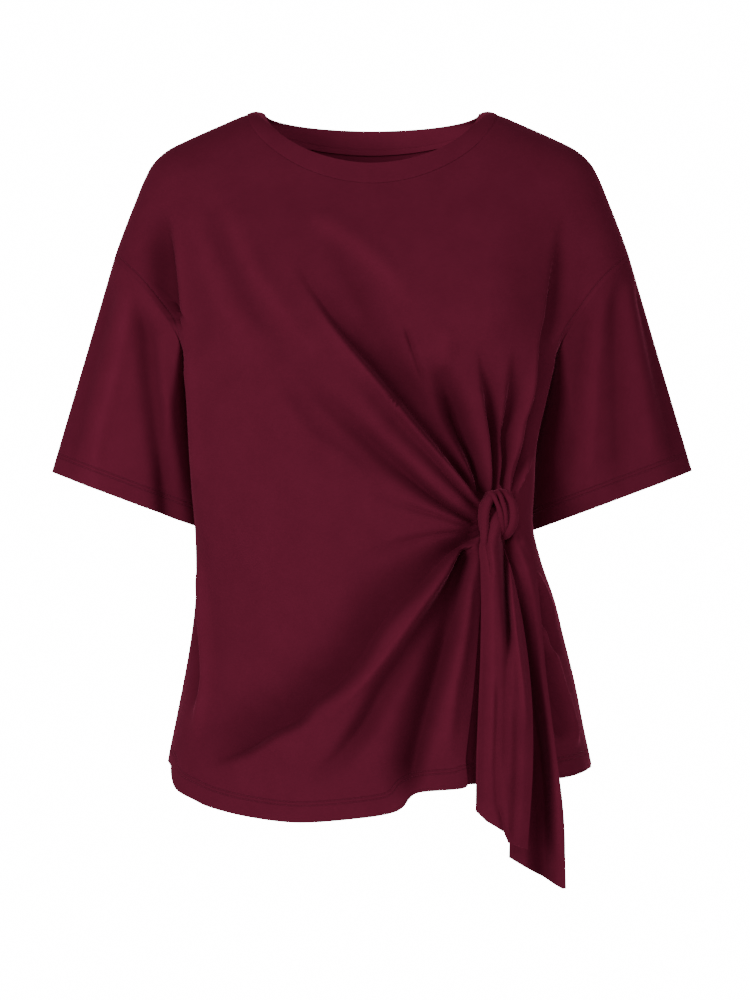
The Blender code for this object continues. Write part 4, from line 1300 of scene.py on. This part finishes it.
def sewRows(name, rows):
    bpy.ops.object.select_all(action="DESELECT")
    bpy.ops.mesh.primitive_uv_sphere_add(segments=6, ring_count=4, radius=1.0)
    bead = bpy.context.object
    beadPoints = np.array([v.co for v in bead.data.vertices])
    beadFaces = [list(face.vertices) for face in bead.data.polygons]
    verts = []
    faces = []
    for row in rows:
        place = lengthAlong(row[:, :3])
        count = int(place[-1] / stitch["pitch"])
        at = (np.arange(count) + 0.5) * stitch["pitch"]
        point = np.stack([np.interp(at, place, row[:, k]) for k in range(6)], axis=1)
        ahead = np.stack([np.interp(at + stitch["ahead"], place, row[:, k]) for k in range(3)], axis=1)
        for p, q in zip(point, ahead):
            along = q - p[:3]
            if np.linalg.norm(along) < 1e-6:
                continue
            along /= np.linalg.norm(along)
            normal = p[3:] / np.linalg.norm(p[3:])
            sideways = np.cross(normal, along)
            middle = p[:3] + normal * (shirt["wall"] / 2 + stitch["lift"])
            body = (middle + beadPoints[:, 2:3] * along * stitch["length"] / 2
                    + beadPoints[:, :1] * sideways * stitch["width"] / 2
                    + beadPoints[:, 1:2] * normal * stitch["height"] / 2)
            faces += [[i + len(verts) * len(beadPoints) for i in face] for face in beadFaces]
            verts.append(body * mm)
    mesh = bpy.data.meshes.new(name)
    mesh.from_pydata(np.concatenate(verts).tolist(), [], faces)
    bead.data = mesh
    bead.name = name
    select(bead)
    bpy.ops.object.mode_set(mode="EDIT")
    bpy.ops.mesh.select_all(action="SELECT")
    bpy.ops.mesh.normals_make_consistent(inside=False)
    bpy.ops.object.mode_set(mode="OBJECT")
    bpy.ops.object.shade_smooth()
    print(name, len(verts), "stitches")
    return bead


leftColumns = range(0, corner[0] + frontPanel["sideSteps"])
rightColumns = range(corner[7] - frontPanel["sideSteps"], front.shape[1])
hemOfFront, seamOfFront = frontGaps[0][1], frontGaps[1][1]
facing = facingNormals(front, -1)
frontRows = [rowAtGap(front, facing, hemOfFront, value, columns)
             for value in jersey["hemRows"] for columns in (leftColumns, rightColumns)]
free = stitch["clear"]
frontRows += [rowAtGap(front, facing, seamOfFront, jersey["seamRow"], range(first + free, last - free))
              for first, last in ((corner[1], corner[2]), (corner[5], corner[6]))]
frontStitches = sewRows("frontStitches", frontRows)
belongs(frontStitches, "front", thread, stands=False)

facing = facingNormals(back, 1)
backRows = [rowAtGap(back, facing, backGaps[0][1], value, range(2, back.shape[1] - 2))
            for value in jersey["hemRows"]]
across = np.swapaxes(back, 0, 1)
gapAcross = np.swapaxes(backGaps[1][1], 0, 1)
half = len(across) // 2
for part in (slice(half - 1, None, -1), slice(half, None)):
    facing = facingNormals(across[part], 1)
    backRows.append(rowAtGap(across[part], facing, gapAcross[part], jersey["seamRow"],
                             range(free, arm - free)))
backStitches = sewRows("backStitches", backRows)
belongs(backStitches, "back", thread, stands=False)

cuffStitches = {}
for side, node, name in ((-1, "sleeve_left", "sleeveLeft"), (1, "sleeve_right", "sleeveRight")):
    piece, grid, gap = sleeves[side]
    columns = [*range(grid.shape[1]), 0]
    rows = [rowAtGap(grid, outwardNormals(grid)[0], gap, value, columns)
            for value in jersey["hemRows"]]
    cuffStitches[side] = sewRows(name + "Stitches", rows)
    belongs(cuffStitches[side], node, thread, stands=False)


# ---- studio ----
studio = {
    "aim": (0.0, 0.0, -0.36),
    "floorDrop": 1.10,
    "floorRadius": 1.85,
    "backdrop": 16.0,
    "ambient": 0.09,
    # name, place, size, power
    "lamps": (
        ("keyLight", (-2.2, -2.5, 0.05), 1.5, 78.0),
        ("sideLight", (2.7, -1.6, 0.00), 1.6, 30.0),
        ("frontLight", (0.3, -3.2, 0.75), 1.2, 30.0),
        ("backLight", (0.3, 3.4, 0.2), 2.4, 95.0),
    ),
}

bpy.ops.object.select_all(action="DESELECT")
bpy.ops.mesh.primitive_circle_add(vertices=96, radius=studio["floorRadius"], fill_type="NGON",
                                  location=(0.0, 0.0, -studio["floorDrop"]))
floor = bpy.context.object
floor.name = "studioFloor"
paint = bpy.data.materials.new("paleFloor")
paint.use_nodes = True
finish = paint.node_tree.nodes["Principled BSDF"]
finish.inputs["Base Color"].default_value = (0.86, 0.86, 0.86, 1.0)
finish.inputs["Roughness"].default_value = 0.9
floor.data.materials.append(paint)

for name, position, size, power in studio["lamps"]:
    bpy.ops.object.light_add(type="AREA", location=position)
    lamp = bpy.context.object
    lamp.name = name
    lamp.data.size = size
    lamp.data.energy = power
    away = np.subtract(position, studio["aim"])
    level = math.hypot(away[0], away[1])
    turn = math.atan2(away[1], away[0]) + math.pi / 2
    lamp.rotation_euler = (math.atan2(level, away[2]), 0.0, turn)

world = bpy.data.worlds.new("studioWorld")
world.use_nodes = True
bpy.context.scene.world = world
sky = world.node_tree
sky.nodes.clear()
glows = []
for strength in (studio["ambient"], studio["backdrop"]):
    glow = sky.nodes.new("ShaderNodeBackground")
    glow.inputs["Color"].default_value = (1.0, 1.0, 1.0, 1.0)
    glow.inputs["Strength"].default_value = strength
    glows.append(glow)
rays = sky.nodes.new("ShaderNodeLightPath")
mix = sky.nodes.new("ShaderNodeMixShader")
out = sky.nodes.new("ShaderNodeOutputWorld")
sky.links.new(rays.outputs["Is Camera Ray"], mix.inputs[0])
sky.links.new(glows[0].outputs[0], mix.inputs[1])
sky.links.new(glows[1].outputs[0], mix.inputs[2])
sky.links.new(mix.outputs[0], out.inputs["Surface"])
print("studio lit")
